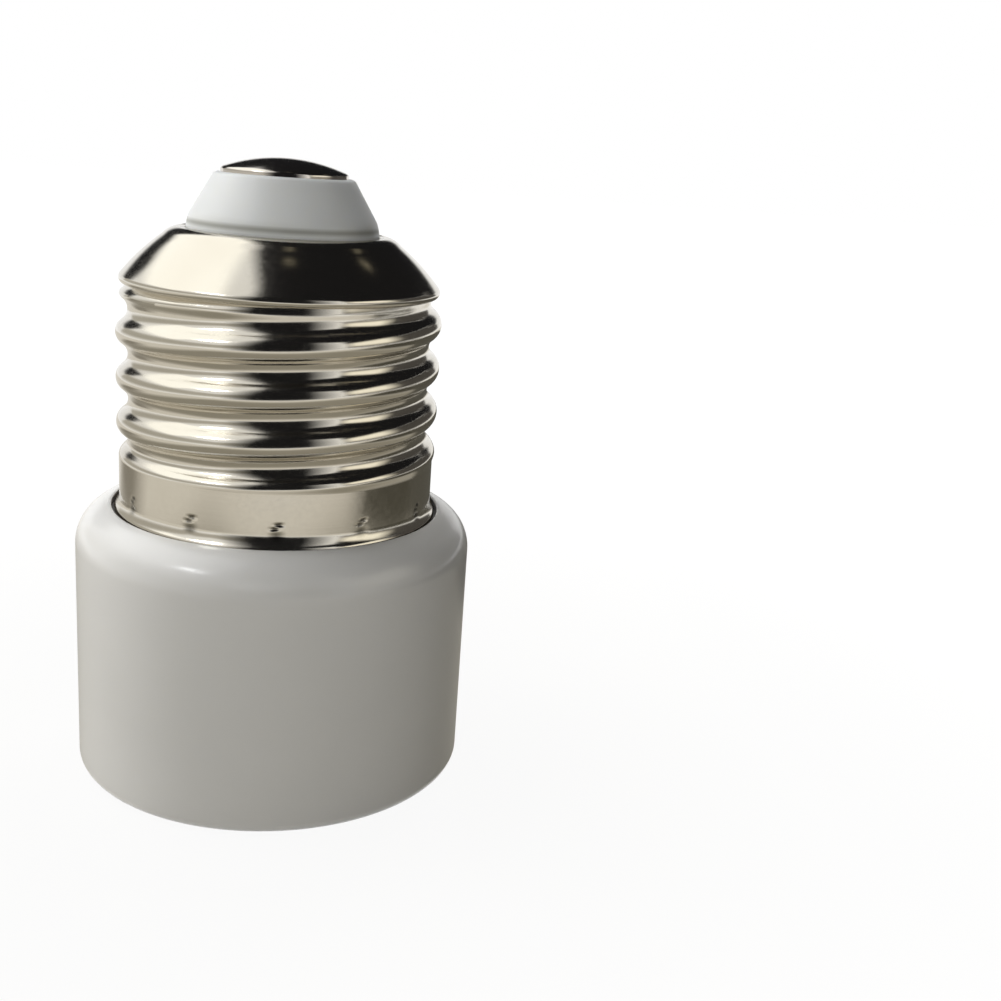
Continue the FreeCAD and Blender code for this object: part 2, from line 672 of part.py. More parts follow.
# Nose insulator: a hollow cap inside the dome with a frustum that stands out of the hole
nose = new_body("nose_insulator")
nose_foot_r = s.shell_hole_r - s.nose_gap
nose_skirt_r = neck_r
inside_drop = s.sheet_t * 2 + s.nose_gap
nose_waist_r = nose_foot_r - s.nose_groove
nose_top_r = nose_waist_r - s.nose_taper
nose_inner_r = nose_top_r - s.nose_wall / 2
revolve(nose, "cap", [
    (nose_skirt_r, neck_top_z),
    (nose_skirt_r, shell_rim_z),
    (dome_shoulder_r - s.sheet_t, dome_top_z - s.dome_round - inside_drop),
    (nose_foot_r, dome_top_z - s.sheet_t - s.nose_gap * 3),
    (nose_foot_r, dome_top_z + s.nose_ring_h),
    (nose_waist_r, dome_top_z + s.nose_ring_h),
    (nose_waist_r, dome_top_z + s.nose_ring_h + s.nose_groove / 2),
    (nose_top_r + s.nose_edge * 0.35, nose_top_z - s.nose_edge),
    (nose_top_r - s.nose_edge * 0.55, nose_top_z),
    (s.shank_r + s.fit_gap, nose_top_z),
    (s.shank_r + s.fit_gap, nose_ceiling_z),
    (nose_inner_r, nose_ceiling_z),
    (nose_foot_r - s.nose_wall, dome_top_z),
    (neck_bore_r - s.nose_gap, shell_rim_z - s.nose_wall),
    (neck_bore_r - s.nose_gap, neck_top_z),
])

# Centre contact: a domed cap whose shank is riveted through the nose
contact = new_body("centre_contact")
contact_rim_z = nose_top_z + s.contact_rim
contact_top_z = contact_rim_z + s.contact_dome
contact_r = nose_top_r - s.contact_inset
dome_r = (contact_r * contact_r + s.contact_dome * s.contact_dome) / (s.contact_dome * 2)
hollow_r = contact_r - s.contact_t
rivet_z = nose_ceiling_z - s.tag_t
revolve(contact, "cap", [
    (0, contact_top_z, dome_r, 1),
    (contact_r, contact_rim_z),
    (contact_r, nose_top_z),
    (hollow_r, nose_top_z),
    (hollow_r, nose_top_z + s.contact_rim / 2),
    (s.shank_r, contact_top_z - s.contact_t * 1.5),
    (s.shank_r, rivet_z),
    (s.rivet_r, rivet_z),
    (s.rivet_r, rivet_z - s.rivet_t / 2),
    (s.shank_r, rivet_z - s.rivet_t),
    (0, rivet_z - s.rivet_t),
])

# Solder tag under the rivet: a ring with a tail that is bent down
tag = new_body("centre_tag")
ring = new_sketch(tag, "ring_outline", "XY_Plane", rivet_z)
draw_circle(ring, 0, 0, s.tag_r)
extrude(tag, "Pad", "ring", ring, s.tag_t)
tail = new_sketch(tag, "tail_outline", "XZ_Plane")
draw(tail, [
    (s.shank_r, rivet_z),
    (s.tag_reach - s.tag_t, rivet_z),
    (s.tag_reach - s.tag_t, rivet_z - s.tag_drop),
    (s.tag_reach, rivet_z - s.tag_drop),
    (s.tag_reach, nose_ceiling_z),
    (s.shank_r, nose_ceiling_z),
])
extrude(tag, "Pad", "tail", tail, s.tag_w, midplane=True)
eye = new_sketch(tag, "eye_outline", "XY_Plane", nose_ceiling_z + s.tag_t)
draw_circle(eye, 0, 0, s.shank_r + s.fit_gap)
extrude(tag, "Pocket", "eye", eye, s.tag_t * 3)

# Face plate: the socket's front with its openings, clip pockets, lamp collar and snap latches
plate = new_body("face_plate")
disc = new_sketch(plate, "disc_outline", "XY_Plane", s.plate_recess)
draw_circle(disc, 0, 0, plate_r)
extrude(plate, "Pad", "disc", disc, s.ledge_h - s.plate_recess)
cradle_mid_r = s.cradle_r + half_strip
pocket_low_x = leaf_x - half_strip - s.pocket_gap
pocket_high_x = wing_x + s.bend_r
pocket_high_y = s.wing_l + (wing_x - leaf_x) / 2 + half_strip + s.pocket_gap
pocket_low_y = s.wing_l + half_strip + s.pocket_gap
wall = s.tower_wall
towers = new_sketch(plate, "tower_outline", "XY_Plane", s.ledge_h)
pockets = new_sketch(plate, "pocket_outline", "XY_Plane", clip_top_z + s.pocket_gap)
for sketch, grow in ((towers, wall), (pockets, wall - wall)):
    draw(sketch, [
        (pocket_low_x - grow, -pocket_low_y - grow),
        (pocket_high_x + grow, -pocket_low_y - grow),
        (pocket_high_x + grow, -pocket_r - grow),
        (pin_x, -pocket_r - grow, pocket_r + grow, -1),
        (pin_x, pocket_r + grow),
        (pocket_high_x + grow, pocket_r + grow),
        (pocket_high_x + grow, pocket_high_y + grow),
        (pocket_low_x - grow, pocket_high_y + grow),
    ])
tower_pad = extrude(plate, "Pad", "tower", towers, clip_top_z - s.pocket_gap - s.ledge_h)
half_turn(plate, "towers", [tower_pad])
pocket_cut = extrude(plate, "Pocket", "pocket", pockets, s.clip_l + s.pocket_gap)
half_turn(plate, "pockets", [pocket_cut])
keyhole = new_sketch(plate, "keyhole_outline", "XY_Plane", clip_z + s.fit_gap)
pin_half = s.pin_hole_w / 2
slot_out_x = slot_x + s.slot_w / 2
draw(keyhole, [
    (slot_x - s.slot_w / 2, -s.slot_l / 2),
    (slot_out_x, -s.slot_l / 2),
    (slot_out_x, -pin_half),
    (pin_x, -pin_half, pin_half, -1),
    (pin_x, pin_half),
    (slot_out_x, pin_half),
    (slot_out_x, s.slot_l / 2),
    (slot_x - s.slot_w / 2, s.slot_l / 2),
])
keyhole_cut = extrude(plate, "Pocket", "keyhole", keyhole, clip_z + s.plate_recess)
half_turn(plate, "keyholes", [keyhole_cut])
collar = new_sketch(plate, "collar_outline", "XY_Plane", s.ledge_h)
draw_circle(collar, 0, lamp_mid_y, collar_bore_r + s.collar_wall)
draw_circle(collar, 0, lamp_mid_y, collar_bore_r)
extrude(plate, "Pad", "collar", collar, s.collar_h)
dish = plate.newObject("PartDesign::SubtractiveEllipsoid", "face_plate_dish")
for prop, size in (("Radius1", s.dish_depth), ("Radius2", s.dish_l / 2), ("Radius3", s.dish_w / 2)):
    setattr(dish, prop, size.number)
    bind(dish, prop, size)
dish.Placement = FreeCAD.Placement(
    FreeCAD.Vector(0, lamp_mid_y.number, s.plate_recess.number), FreeCAD.Rotation())
bind(dish, "Placement.Base.y", lamp_mid_y)
bind(dish, "Placement.Base.z", s.plate_recess)
lens_hole = new_sketch(plate, "lens_hole_outline", "XY_Plane", s.ledge_h)
draw_circle(lens_hole, 0, lamp_mid_y, s.lens_r + s.lens_gap)
extrude(plate, "Pocket", "lens_hole", lens_hole, s.ledge_h)
notch = new_sketch(plate, "notch_outline", "XY_Plane", s.ledge_h)
draw(notch, box_points(-s.notch_w / 2, s.notch_w / 2, plate_r - s.notch_depth, body_r))
notch_cut = extrude(plate, "Pocket", "notch", notch, s.ledge_h)
half_turn(plate, "notches", [notch_cut])
latch = new_sketch(plate, "latch_outline", "YZ_Plane")
latch_top_z = s.ledge_h + s.latch_h
draw(latch, [
    (latch_y - s.latch_t, s.ledge_h),
    (latch_y, s.ledge_h),
    (latch_y, hook_z),
    (latch_y + s.latch_hook, hook_z),
    (latch_y, latch_top_z),
    (latch_y - s.latch_t, latch_top_z),
])
latch_pad = extrude(plate, "Pad", "latch", latch, s.latch_w, midplane=True)
half_turn(plate, "latches", [latch_pad])


# Contact clips: one brass strip each, folded to grip a flat blade or a round pin
def contact_clip(label, half_turns):
    clip = new_body(label)
    dx = pin_x - wing_x - s.bend_r
    reach = cradle_mid_r + s.bend_r
    bend_y = root(reach * reach - dx * dx)
    touch_x = pin_x - dx * cradle_mid_r / reach
    touch_y = bend_y * cradle_mid_r / reach
    turn_r = (wing_x - leaf_x) / 2
    path = new_sketch(clip, "path", "XY_Plane", clip_z)
    draw(path, [
        (leaf_x, -s.leaf_l),
        (leaf_x, s.wing_l, turn_r, 1),
        (wing_x, s.wing_l),
        (wing_x, bend_y, s.bend_r, -1),
        (touch_x, touch_y, cradle_mid_r, 2),
        (touch_x, -touch_y, s.bend_r, -1),
        (wing_x, -bend_y),
        (wing_x, -s.wing_l),
    ], closed=False)
    section = new_sketch(clip, "section", "XZ_Plane", s.leaf_l)
    draw(section, box_points(leaf_x - half_strip, leaf_x + half_strip, clip_z, clip_top_z))
    strip = clip.newObject("PartDesign::AdditivePipe", f"{label}_strip")
    strip.Profile = section
    strip.Spine = path
    tab = new_sketch(clip, "tab_outline", "YZ_Plane", leaf_x - half_strip)
    draw(tab, box_points(-s.tab_w / 2, s.tab_w / 2, clip_top_z - s.tab_w, clip_top_z + s.tab_l))
    extrude(clip, "Pad", "tab", tab, s.strip_t)
    hole = new_sketch(clip, "tab_hole_outline", "YZ_Plane", leaf_x + s.strip_t)
    draw_circle(hole, 0, clip_top_z + s.tab_l * 0.7, s.tab_hole_r)
    extrude(clip, "Pocket", "tab_hole", hole, s.strip_t * 2)
    clip.Placement = FreeCAD.Placement(
        FreeCAD.Vector(), FreeCAD.Rotation(FreeCAD.Vector(0, 0, 1), 180 * half_turns))
    return clip


clip_right = contact_clip("contact_clip_right", 0)
clip_left = contact_clip("contact_clip_left", 1)

# Indicator: a red lens in the plate with a glow lamp behind it
lens = new_body("indicator_lens")
lens_r = s.lens_r
lens_front_z = s.plate_recess + s.dish_depth - s.lens_dome / 2
lens_edge_z = lens_front_z + s.lens_dome
lens_ball_r = (lens_r * lens_r + s.lens_dome * s.lens_dome) / (s.lens_dome * 2)
revolve(lens, "cap", [
    (0, lens_front_z, lens_ball_r, -1),
    (lens_r, lens_edge_z),
    (lens_r, s.ledge_h),
    (s.lens_flange_r, s.ledge_h),
    (s.lens_flange_r, lamp_z),
    (0, lamp_z),
])
bind(lens, "Placement.Base.y", lamp_mid_y)

lamp = new_body("neon_lamp")
lamp_inner_r = s.lamp_r - s.glass_t
lamp_end_z = lamp_z + s.fit_gap + s.lamp_l
lamp_low_z = lamp_z + s.fit_gap
lamp_tip_r = s.lamp_r / 2
revolve(lamp, "glass", [
    (0, lamp_low_z),
    (lamp_tip_r, lamp_low_z),
    (s.lamp_r, lamp_low_z + lamp_tip_r),
    (s.lamp_r, lamp_end_z),
    (0, lamp_end_z),
])
hollow = new_sketch(lamp, "hollow_outline", "XZ_Plane")
hollow_top_z = lamp_end_z - s.glass_t * 3
draw(hollow, [
    (0, lamp_low_z + s.glass_t),
    (lamp_tip_r, lamp_low_z + s.glass_t),
    (lamp_inner_r, lamp_low_z + s.lamp_r),
    (lamp_inner_r, hollow_top_z),
    (0, hollow_top_z),
])
hollow_cut = lamp.newObject("PartDesign::Groove", "neon_lamp_hollow")
hollow_cut.Profile = hollow
hollow_cut.ReferenceAxis = (hollow, ["V_Axis"])
hollow_cut.Angle = 360
lead_x = s.lead_spacing / 2
lead_holes = new_sketch(lamp, "lead_holes_outline", "XY_Plane", lamp_end_z)
draw_circle(lead_holes, lead_x, 0, s.lead_r + s.fit_gap)
draw_circle(lead_holes, -lead_x, 0, s.lead_r + s.fit_gap)
extrude(lamp, "Pocket", "lead_holes", lead_holes, s.glass_t * 4)
bind(lamp, "Placement.Base.y", lamp_mid_y)

electrodes = new_body("neon_electrodes")
rods = new_sketch(electrodes, "rod_outline", "XY_Plane", hollow_top_z - s.fit_gap - s.electrode_l)
draw_circle(rods, lead_x, 0, s.electrode_r)
draw_circle(rods, -lead_x, 0, s.electrode_r)
extrude(electrodes, "Pad", "rods", rods, s.electrode_l)
bind(electrodes, "Placement.Base.y", lamp_mid_y)

# Wires, leads and solder joints
core_r = s.core_r.number
bore_r = core_r + s.fit_gap.number
sheath_r = bore_r + s.sheath_t.number
bend = sheath_r * 5
strip_back = s.strip_back.number
film = s.solder_film.number
tab_face_x = wire_x.number
tab_hole_z = (clip_top_z + s.tab_l * 0.7).number
deck_top_z = (deck_z + s.deck_t).number
tail_x = (s.tag_reach - s.tag_t).number - core_r - film
tail_low_z = (rivet_z - s.tag_drop).number


def insulated_wire(name, points):
    """A copper core along the points, with a sheath that leaves both ends bare."""
    path = round_path(points, bend)
    core = round_bar(path, core_r)
    bare = []
    for end, beside in ((points[0], points[1]), (points[-1], points[-2])):
        end = FreeCAD.Vector(*end)
        way = (FreeCAD.Vector(*beside) - end).normalize()
        bare.append(Part.makeCylinder(2 * sheath_r, strip_back + sheath_r, end - way * sheath_r, way))
    sheath = round_bar(path, sheath_r).cut(round_bar(path, bore_r)).cut(bare)
    print(name, "length", round(path.Length, 1), "bend radius", round(bend, 2))
    return add_shape(f"{name}_core", core), add_shape(f"{name}_sheath", sheath)


wire_foot_z = (clip_top_z + s.wire_foot).number
rise_z = deck_top_z + s.wire_rise.number
swing = s.wire_swing.number
wire_end_z = tail_low_z - s.wire_end.number
line_points = [
    (tab_face_x, 0, wire_foot_z),
    (tab_face_x, 0, rise_z),
    (tab_face_x - swing, swing, rise_z + s.wire_slack_h.number),
    (tail_x + swing / 2, swing * 0.8, wire_end_z - s.wire_turn.number),
    (tail_x, 0, wire_end_z),
    (tail_x, 0, (rivet_z - s.wire_foot).number),
]
shell_wire_z = (seat_z + s.wire_hole_h).number
shell_points = [
    (-tab_face_x, 0, wire_foot_z),
    (-tab_face_x, 0, shell_wire_z),
    (-skirt_inner_r.number + s.shell_gap.number, 0, shell_wire_z),
]
line_core, line_sheath = insulated_wire("line_wire", line_points)
shell_core, shell_sheath = insulated_wire("shell_wire", shell_points)

lead_r = s.lead_r.number
lamp_y = lamp_mid_y.number
hook_y = -s.lead_hook.number
lead_x_mm = lead_x.number
lead_low_z = (hollow_top_z).number
lead_out_z = lamp_end_z.number
tab_out_x = (leaf_x + half_strip).number + lead_r + film
lead_bend = lead_r * 6
lead_end_z = tab_hole_z
lead_right = round_bar(round_path([
    (lead_x_mm, lamp_y, lead_low_z),
    (lead_x_mm, lamp_y, lead_out_z + s.lead_rise.number),
    (lead_x_mm + s.lead_out.number, lamp_y - s.lead_in.number, lead_end_z - hook_y),
    (tab_out_x, s.lead_end.number, lead_end_z),
    (tab_out_x, hook_y, lead_end_z),
], lead_bend), lead_r)
lead_left = round_bar(round_path([
    (-lead_x_mm, lamp_y, lead_low_z),
    (-lead_x_mm, lamp_y, lead_out_z + s.sleeve_l.number),
], lead_bend), lead_r)
neon_leads = add_shape("neon_leads", Part.makeCompound([lead_right, lead_left]))

resistor_z = (clip_top_z + s.pocket_gap * 2 + s.resistor_end_r).number
resistor_start = FreeCAD.Vector(-s.resistor_x.number, lamp_y - s.resistor_in.number, resistor_z)
resistor_way = FreeCAD.Vector(-0.62, -0.784, 0).normalize()
resistor_end = resistor_start + resistor_way * s.resistor_l.number
resistor = new_body("resistor")
cap_l = s.resistor_l / 4
cap_step = s.resistor_end_r - s.resistor_r
revolve(resistor, "barrel", [
    (0, 0),
    (s.resistor_r, 0),
    (s.resistor_end_r, cap_step),
    (s.resistor_end_r, cap_l - cap_step),
    (s.resistor_r, cap_l),
    (s.resistor_r, s.resistor_l - cap_l),
    (s.resistor_end_r, s.resistor_l - cap_l + cap_step),
    (s.resistor_end_r, s.resistor_l - cap_step),
    (s.resistor_r, s.resistor_l),
    (0, s.resistor_l),
])
resistor.Placement = FreeCAD.Placement(
    resistor_start, FreeCAD.Rotation(FreeCAD.Vector(0, 0, 1), resistor_way))
joint_x = -lead_x_mm - 2 * lead_r
joint_low_z = lead_out_z + s.joint_rise.number
stub = resistor_way * s.lead_stub.number
to_lamp = round_bar(round_path([
    (joint_x, lamp_y, joint_low_z),
    (joint_x, lamp_y, resistor_z + lead_r),
    tuple(resistor_start - stub),
    tuple(resistor_start),
], lead_bend), lead_r)
to_clip = round_bar(round_path([
    tuple(resistor_end),
    tuple(resistor_end + stub),
    (-tab_out_x, s.resistor_end.number, lead_end_z),
    (-tab_out_x, hook_y, lead_end_z),
], lead_bend), lead_r)
resistor_leads = add_shape("resistor_leads", Part.makeCompound([to_lamp, to_clip]))
sleeve_x = (joint_x - lead_x_mm) / 2
sleeve_bore = 2 * lead_r + s.fit_gap.number
sleeve_z = joint_low_z - s.joint_rise.number / 3
sleeve = Part.makeCylinder(sleeve_bore + s.sleeve_t.number, s.sleeve_l.number,
                           FreeCAD.Vector(sleeve_x, lamp_y, sleeve_z))
sleeve = sleeve.cut(Part.makeCylinder(sleeve_bore, s.sleeve_l.number,
                                      FreeCAD.Vector(sleeve_x, lamp_y, sleeve_z)))
lead_sleeve = add_shape("lead_sleeve", sleeve)

doc.recompute()


def solder(label, centre, way, half_length, around):
    """A drop of solder round the pieces that it joins, turned about the way that it points."""
    radius = s.solder_r.number
    points = [(0, -half_length), (radius * 0.55, -half_length), (radius, -half_length * 0.3),
              (radius, half_length * 0.3), (radius * 0.55, half_length), (0, half_length)]
    drop = turned_solid(points)
    drop.Placement = FreeCAD.Placement(
        FreeCAD.Vector(*centre), FreeCAD.Rotation(FreeCAD.Vector(0, 0, 1), FreeCAD.Vector(*way)))
    whole = drop.cut([piece.Shape for piece in around])
    parts = sorted(whole.Solids, key=lambda solid: solid.Volume)
    return add_shape(label, parts[-1])


tab_solder = (s.solder_l / 2).number
tag_solder = (s.tag_solder_l / 2).number
shell_solder = (s.shell_solder_l / 2).number
solder("solder_clip_right", (leaf_x.number, 0, tab_hole_z), (1, 0, 0), tab_solder,
       [clip_right, line_core, neon_leads])
solder("solder_clip_left", (-leaf_x.number, 0, tab_hole_z), (1, 0, 0), tab_solder,
       [clip_left, shell_core, resistor_leads])
solder("solder_tag", (tail_x, 0, tail_low_z + tag_solder * 1.1), (0, 0, 1), tag_solder,
       [tag, line_core])
solder("solder_shell", (-skirt_inner_r.number + shell_solder, 0, shell_wire_z), (1, 0, 0), shell_solder,
       [screw_shell, housing, shell_core])

doc.recompute()

NODES = ["housing", "face_plate", "screw_shell", "nose_insulator", "centre_contact", "centre_tag",
         "contact_clip_right", "contact_clip_left", "indicator_lens", "neon_lamp",
         "neon_electrodes", "neon_leads", "resistor", "resistor_leads", "lead_sleeve",
         "line_wire_core", "line_wire_sheath", "shell_wire_core", "shell_wire_sheath",
         "solder_clip_right", "solder_clip_left", "solder_tag", "solder_shell"]
for item in doc.Objects:
    if "Invalid" in item.State or "Error" in item.State:
        raise RuntimeError(f"{item.Label} did not build: {item.State}")
os.makedirs("parts", exist_ok=True)
for name in NODES:
    item = doc.getObjectsByLabel(name)[0]
    shape = item.Shape
    if shape.isNull() or not shape.isValid():
        raise RuntimeError(f"{name} is not a valid shape")
    shape.exportStep(f"parts/{name}.step")
    print(name, "solids", len(shape.Solids), "volume", round(shape.Volume, 2))
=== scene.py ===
"""Looks of the screw-in socket adapter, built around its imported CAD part.

The part stands on its socket face with the screw base up. Sizes in the classes are in
millimetres, and every mesh is made in metres, in the same frame as the CAD part.
"""

from __future__ import annotations

import logging
import math
from collections.abc import Iterable, Sequence
from dataclasses import dataclass, field, replace
from enum import Enum

import bmesh
import bpy
from bpy.types import Material, Mesh, Node, NodeSocket, NodeTree, Object
from mathutils import Matrix, Vector

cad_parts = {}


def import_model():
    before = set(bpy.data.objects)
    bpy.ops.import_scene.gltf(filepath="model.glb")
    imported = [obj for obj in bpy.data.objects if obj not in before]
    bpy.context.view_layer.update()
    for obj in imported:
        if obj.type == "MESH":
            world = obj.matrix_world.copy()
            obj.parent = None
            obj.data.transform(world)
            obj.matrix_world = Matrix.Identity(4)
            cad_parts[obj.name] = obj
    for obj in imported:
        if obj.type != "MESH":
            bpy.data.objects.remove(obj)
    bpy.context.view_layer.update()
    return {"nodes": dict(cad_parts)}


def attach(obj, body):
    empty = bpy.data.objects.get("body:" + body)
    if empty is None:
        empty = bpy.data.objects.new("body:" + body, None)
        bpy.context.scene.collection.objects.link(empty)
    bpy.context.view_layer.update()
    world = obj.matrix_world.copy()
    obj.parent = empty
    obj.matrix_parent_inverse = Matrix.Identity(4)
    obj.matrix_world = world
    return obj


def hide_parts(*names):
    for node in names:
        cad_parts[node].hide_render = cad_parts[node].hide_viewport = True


LOG = logging.getLogger("socket_adapter")
MM = 0.001
ROOT = "root"
MARK_FIELD = "dent"

# Distances below which two points of an outline, or a point and the axis, count as one, in mm
SAME_POINT = 1e-5
ON_AXIS = 1e-6
# The same for the points of a CAD mesh, and for a point and the plane that cuts it, in metres
WELD = 1e-6
ON_PLANE = 1e-7

Point = tuple[float, float]
Place = tuple[float, float, float]
Color = tuple[float, float, float]


class Surface(Enum):
    """Whether a turned outline's last point is joined to its first."""

    RING = "ring"
    OPEN = "open"


# Outlines


def arc(centre: Point, radius: float, start: float, end: float, steps: int) -> list[Point]:
    """Points on an arc.

    Args:
        centre: Radius and height of the arc's centre.
        radius: The arc's radius.
        start: First angle in degrees, 0 pointing outwards and 90 up.
        end: Last angle in degrees.
        steps: Number of steps between them.

    Returns:
        The points from the first angle to the last.
    """
    points = []
    for index in range(steps + 1):
        angle = math.radians(start + (end - start) * index / steps)
        points.append((centre[0] + radius * math.cos(angle), centre[1] + radius * math.sin(angle)))
    return points


def bowed(start: Point, end: Point, bulge: float, steps: int) -> list[Point]:
    """Points on a shallow arc between two points, bowed to the right of the way by the bulge.

    Args:
        start: First point.
        end: Last point.
        bulge: Largest distance from the straight line. Below 0 it bows to the left.
        steps: Number of steps.

    Returns:
        The points, both ends included.
    """
    run, rise = end[0] - start[0], end[1] - start[1]
    length = math.hypot(run, rise)
    points = []
    for index in range(steps + 1):
        part = index / steps
        out = 4.0 * bulge * part * (1.0 - part)
        points.append((start[0] + run * part + out * rise / length,
                       start[1] + rise * part - out * run / length))
    return points


def through(start: Point, middle: Point, end: Point, steps: int) -> list[Point]:
    """Points on a smooth bend from one point to another that passes through a third.

    Args:
        start: First point.
        middle: Point halfway along.
        end: Last point.
        steps: Number of steps.

    Returns:
        The points, both ends included.
    """
    pull = [2.0 * middle[axis] - (start[axis] + end[axis]) / 2.0 for axis in (0, 1)]
    points = []
    for index in range(steps + 1):
        part = index / steps
        rest = 1.0 - part
        points.append(tuple(start[axis] * rest * rest + 2.0 * pull[axis] * part * rest
                            + end[axis] * part * part for axis in (0, 1)))
    return points


def stepped(start: Point, end: Point, size: float) -> list[Point]:
    """Evenly spaced points on a straight line, both ends included.

    Args:
        start: First point.
        end: Last point.
        size: Largest distance between neighbours.

    Returns:
        The points.
    """
    steps = max(1, math.ceil(math.dist(start, end) / size))
    return [(start[0] + (end[0] - start[0]) * index / steps,
             start[1] + (end[1] - start[1]) * index / steps) for index in range(steps + 1)]


def joined(*runs: Iterable[Point]) -> list[Point]:
    """Put runs of points in a row, without points that repeat.

    Args:
        runs: The runs, in order.

    Returns:
        All their points.
    """
    points: list[Point] = []
    for run in runs:
        for point in run:
            if not points or math.dist(point, points[-1]) > SAME_POINT:
                points.append(point)
    return points


# Meshes


def new_object(name: str, data: bpy.types.ID) -> Object:
    """Make an object and put it in the scene.

    Args:
        name: Name of the object.
        data: Its mesh, curve, lamp or camera.

    Returns:
        The object.
    """
    obj = bpy.data.objects.new(name, data)
    bpy.context.scene.collection.objects.link(obj)
    return obj


def finish_mesh(name: str, mesh: Mesh, sharp: float = 32.0) -> Object:
    """Shade a mesh smooth up to an angle and put it in the scene.

    Args:
        name: Name of the new object.
        mesh: The mesh, in metres.
        sharp: Angle in degrees past which an edge stays sharp.

    Returns:
        The new object.
    """
    mesh.name = name
    mesh.shade_smooth()
    mesh.set_sharp_from_angle(angle=math.radians(sharp))
    return new_object(name, mesh)


def flat_mesh(name: str, corners: Sequence[Sequence[float]]) -> Mesh:
    """Make a mesh with a single face.

    Args:
        name: Name of the mesh.
        corners: The face's four corners, in metres.

    Returns:
        The mesh.
    """
    mesh = bpy.data.meshes.new(name)
    mesh.from_pydata(corners, [], [(0, 1, 2, 3)])
    return mesh


def to_mesh(bm: bmesh.types.BMesh) -> Mesh:
    """Turn a BMesh into a mesh and free it.

    Args:
        bm: The BMesh.

    Returns:
        The mesh.
    """
    mesh = bpy.data.meshes.new("piece")
    bm.to_mesh(mesh)
    bm.free()
    return mesh


def bridge(bm: bmesh.types.BMesh, rings: Sequence[Sequence[bmesh.types.BMVert]]) -> None:
    """Fill the space between each ring of points and the next with faces.

    Args:
        bm: The mesh that the points are in.
        rings: Closed rings with as many points each. One that is a single point repeated
            gives triangles.
    """
    for low, high in zip(rings, rings[1:]):
        for index in range(len(low)):
            after = (index + 1) % len(low)
            corners = [low[index], low[after], high[after], high[index]]
            bm.faces.new(list(dict.fromkeys(corners)))


def turned(points: Sequence[Point], around: int, surface: Surface = Surface.OPEN,
           middle: Point = (0.0, 0.0)) -> Mesh:
    """Turn an outline about an upright axis.

    Args:
        points: Radius and height of each point, in mm.
        around: Number of segments round the axis.
        surface: Whether the outline closes on itself. An open one is closed where it ends
            on the axis.
        middle: Where the axis stands, in mm.

    Returns:
        The turned surface, in metres.
    """
    bm = bmesh.new()
    rings = []
    for radius, height in points:
        if radius < ON_AXIS:
            rings.append([bm.verts.new((middle[0] * MM, middle[1] * MM, height * MM))] * around)
            continue
        ring = []
        for index in range(around):
            angle = 2.0 * math.pi * index / around
            ring.append(bm.verts.new(((middle[0] + radius * math.cos(angle)) * MM,
                                      (middle[1] + radius * math.sin(angle)) * MM, height * MM)))
        rings.append(ring)
    if surface is Surface.RING:
        rings.append(rings[0])
    bridge(bm, rings)
    bmesh.ops.recalc_face_normals(bm, faces=bm.faces)
    return to_mesh(bm)


def evaluated_mesh(obj: Object) -> Mesh:
    """Work out an object's modifiers and curve settings.

    Args:
        obj: The object, which stays as it is.

    Returns:
        The mesh that they give.
    """
    bpy.context.view_layer.update()
    depsgraph = bpy.context.evaluated_depsgraph_get()
    return bpy.data.meshes.new_from_object(obj.evaluated_get(depsgraph), depsgraph=depsgraph)


def settle(obj: Object, material: Material, slot: str, *nodes: str) -> None:
    """Dress a finished piece, let it ride on the part, and say what it stands for.

    Args:
        obj: The piece.
        material: Its material.
        slot: The record's material slot. It is not used.
        nodes: The CAD nodes that the piece stands for.
    """
    obj.data.materials.clear()
    obj.data.materials.append(material)
    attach(obj, ROOT)
    if nodes:
        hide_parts(*nodes)
    LOG.info("%s: %d faces, stands for %s", obj.name, len(obj.data.polygons), ", ".join(nodes) or "itself")


# Finishes


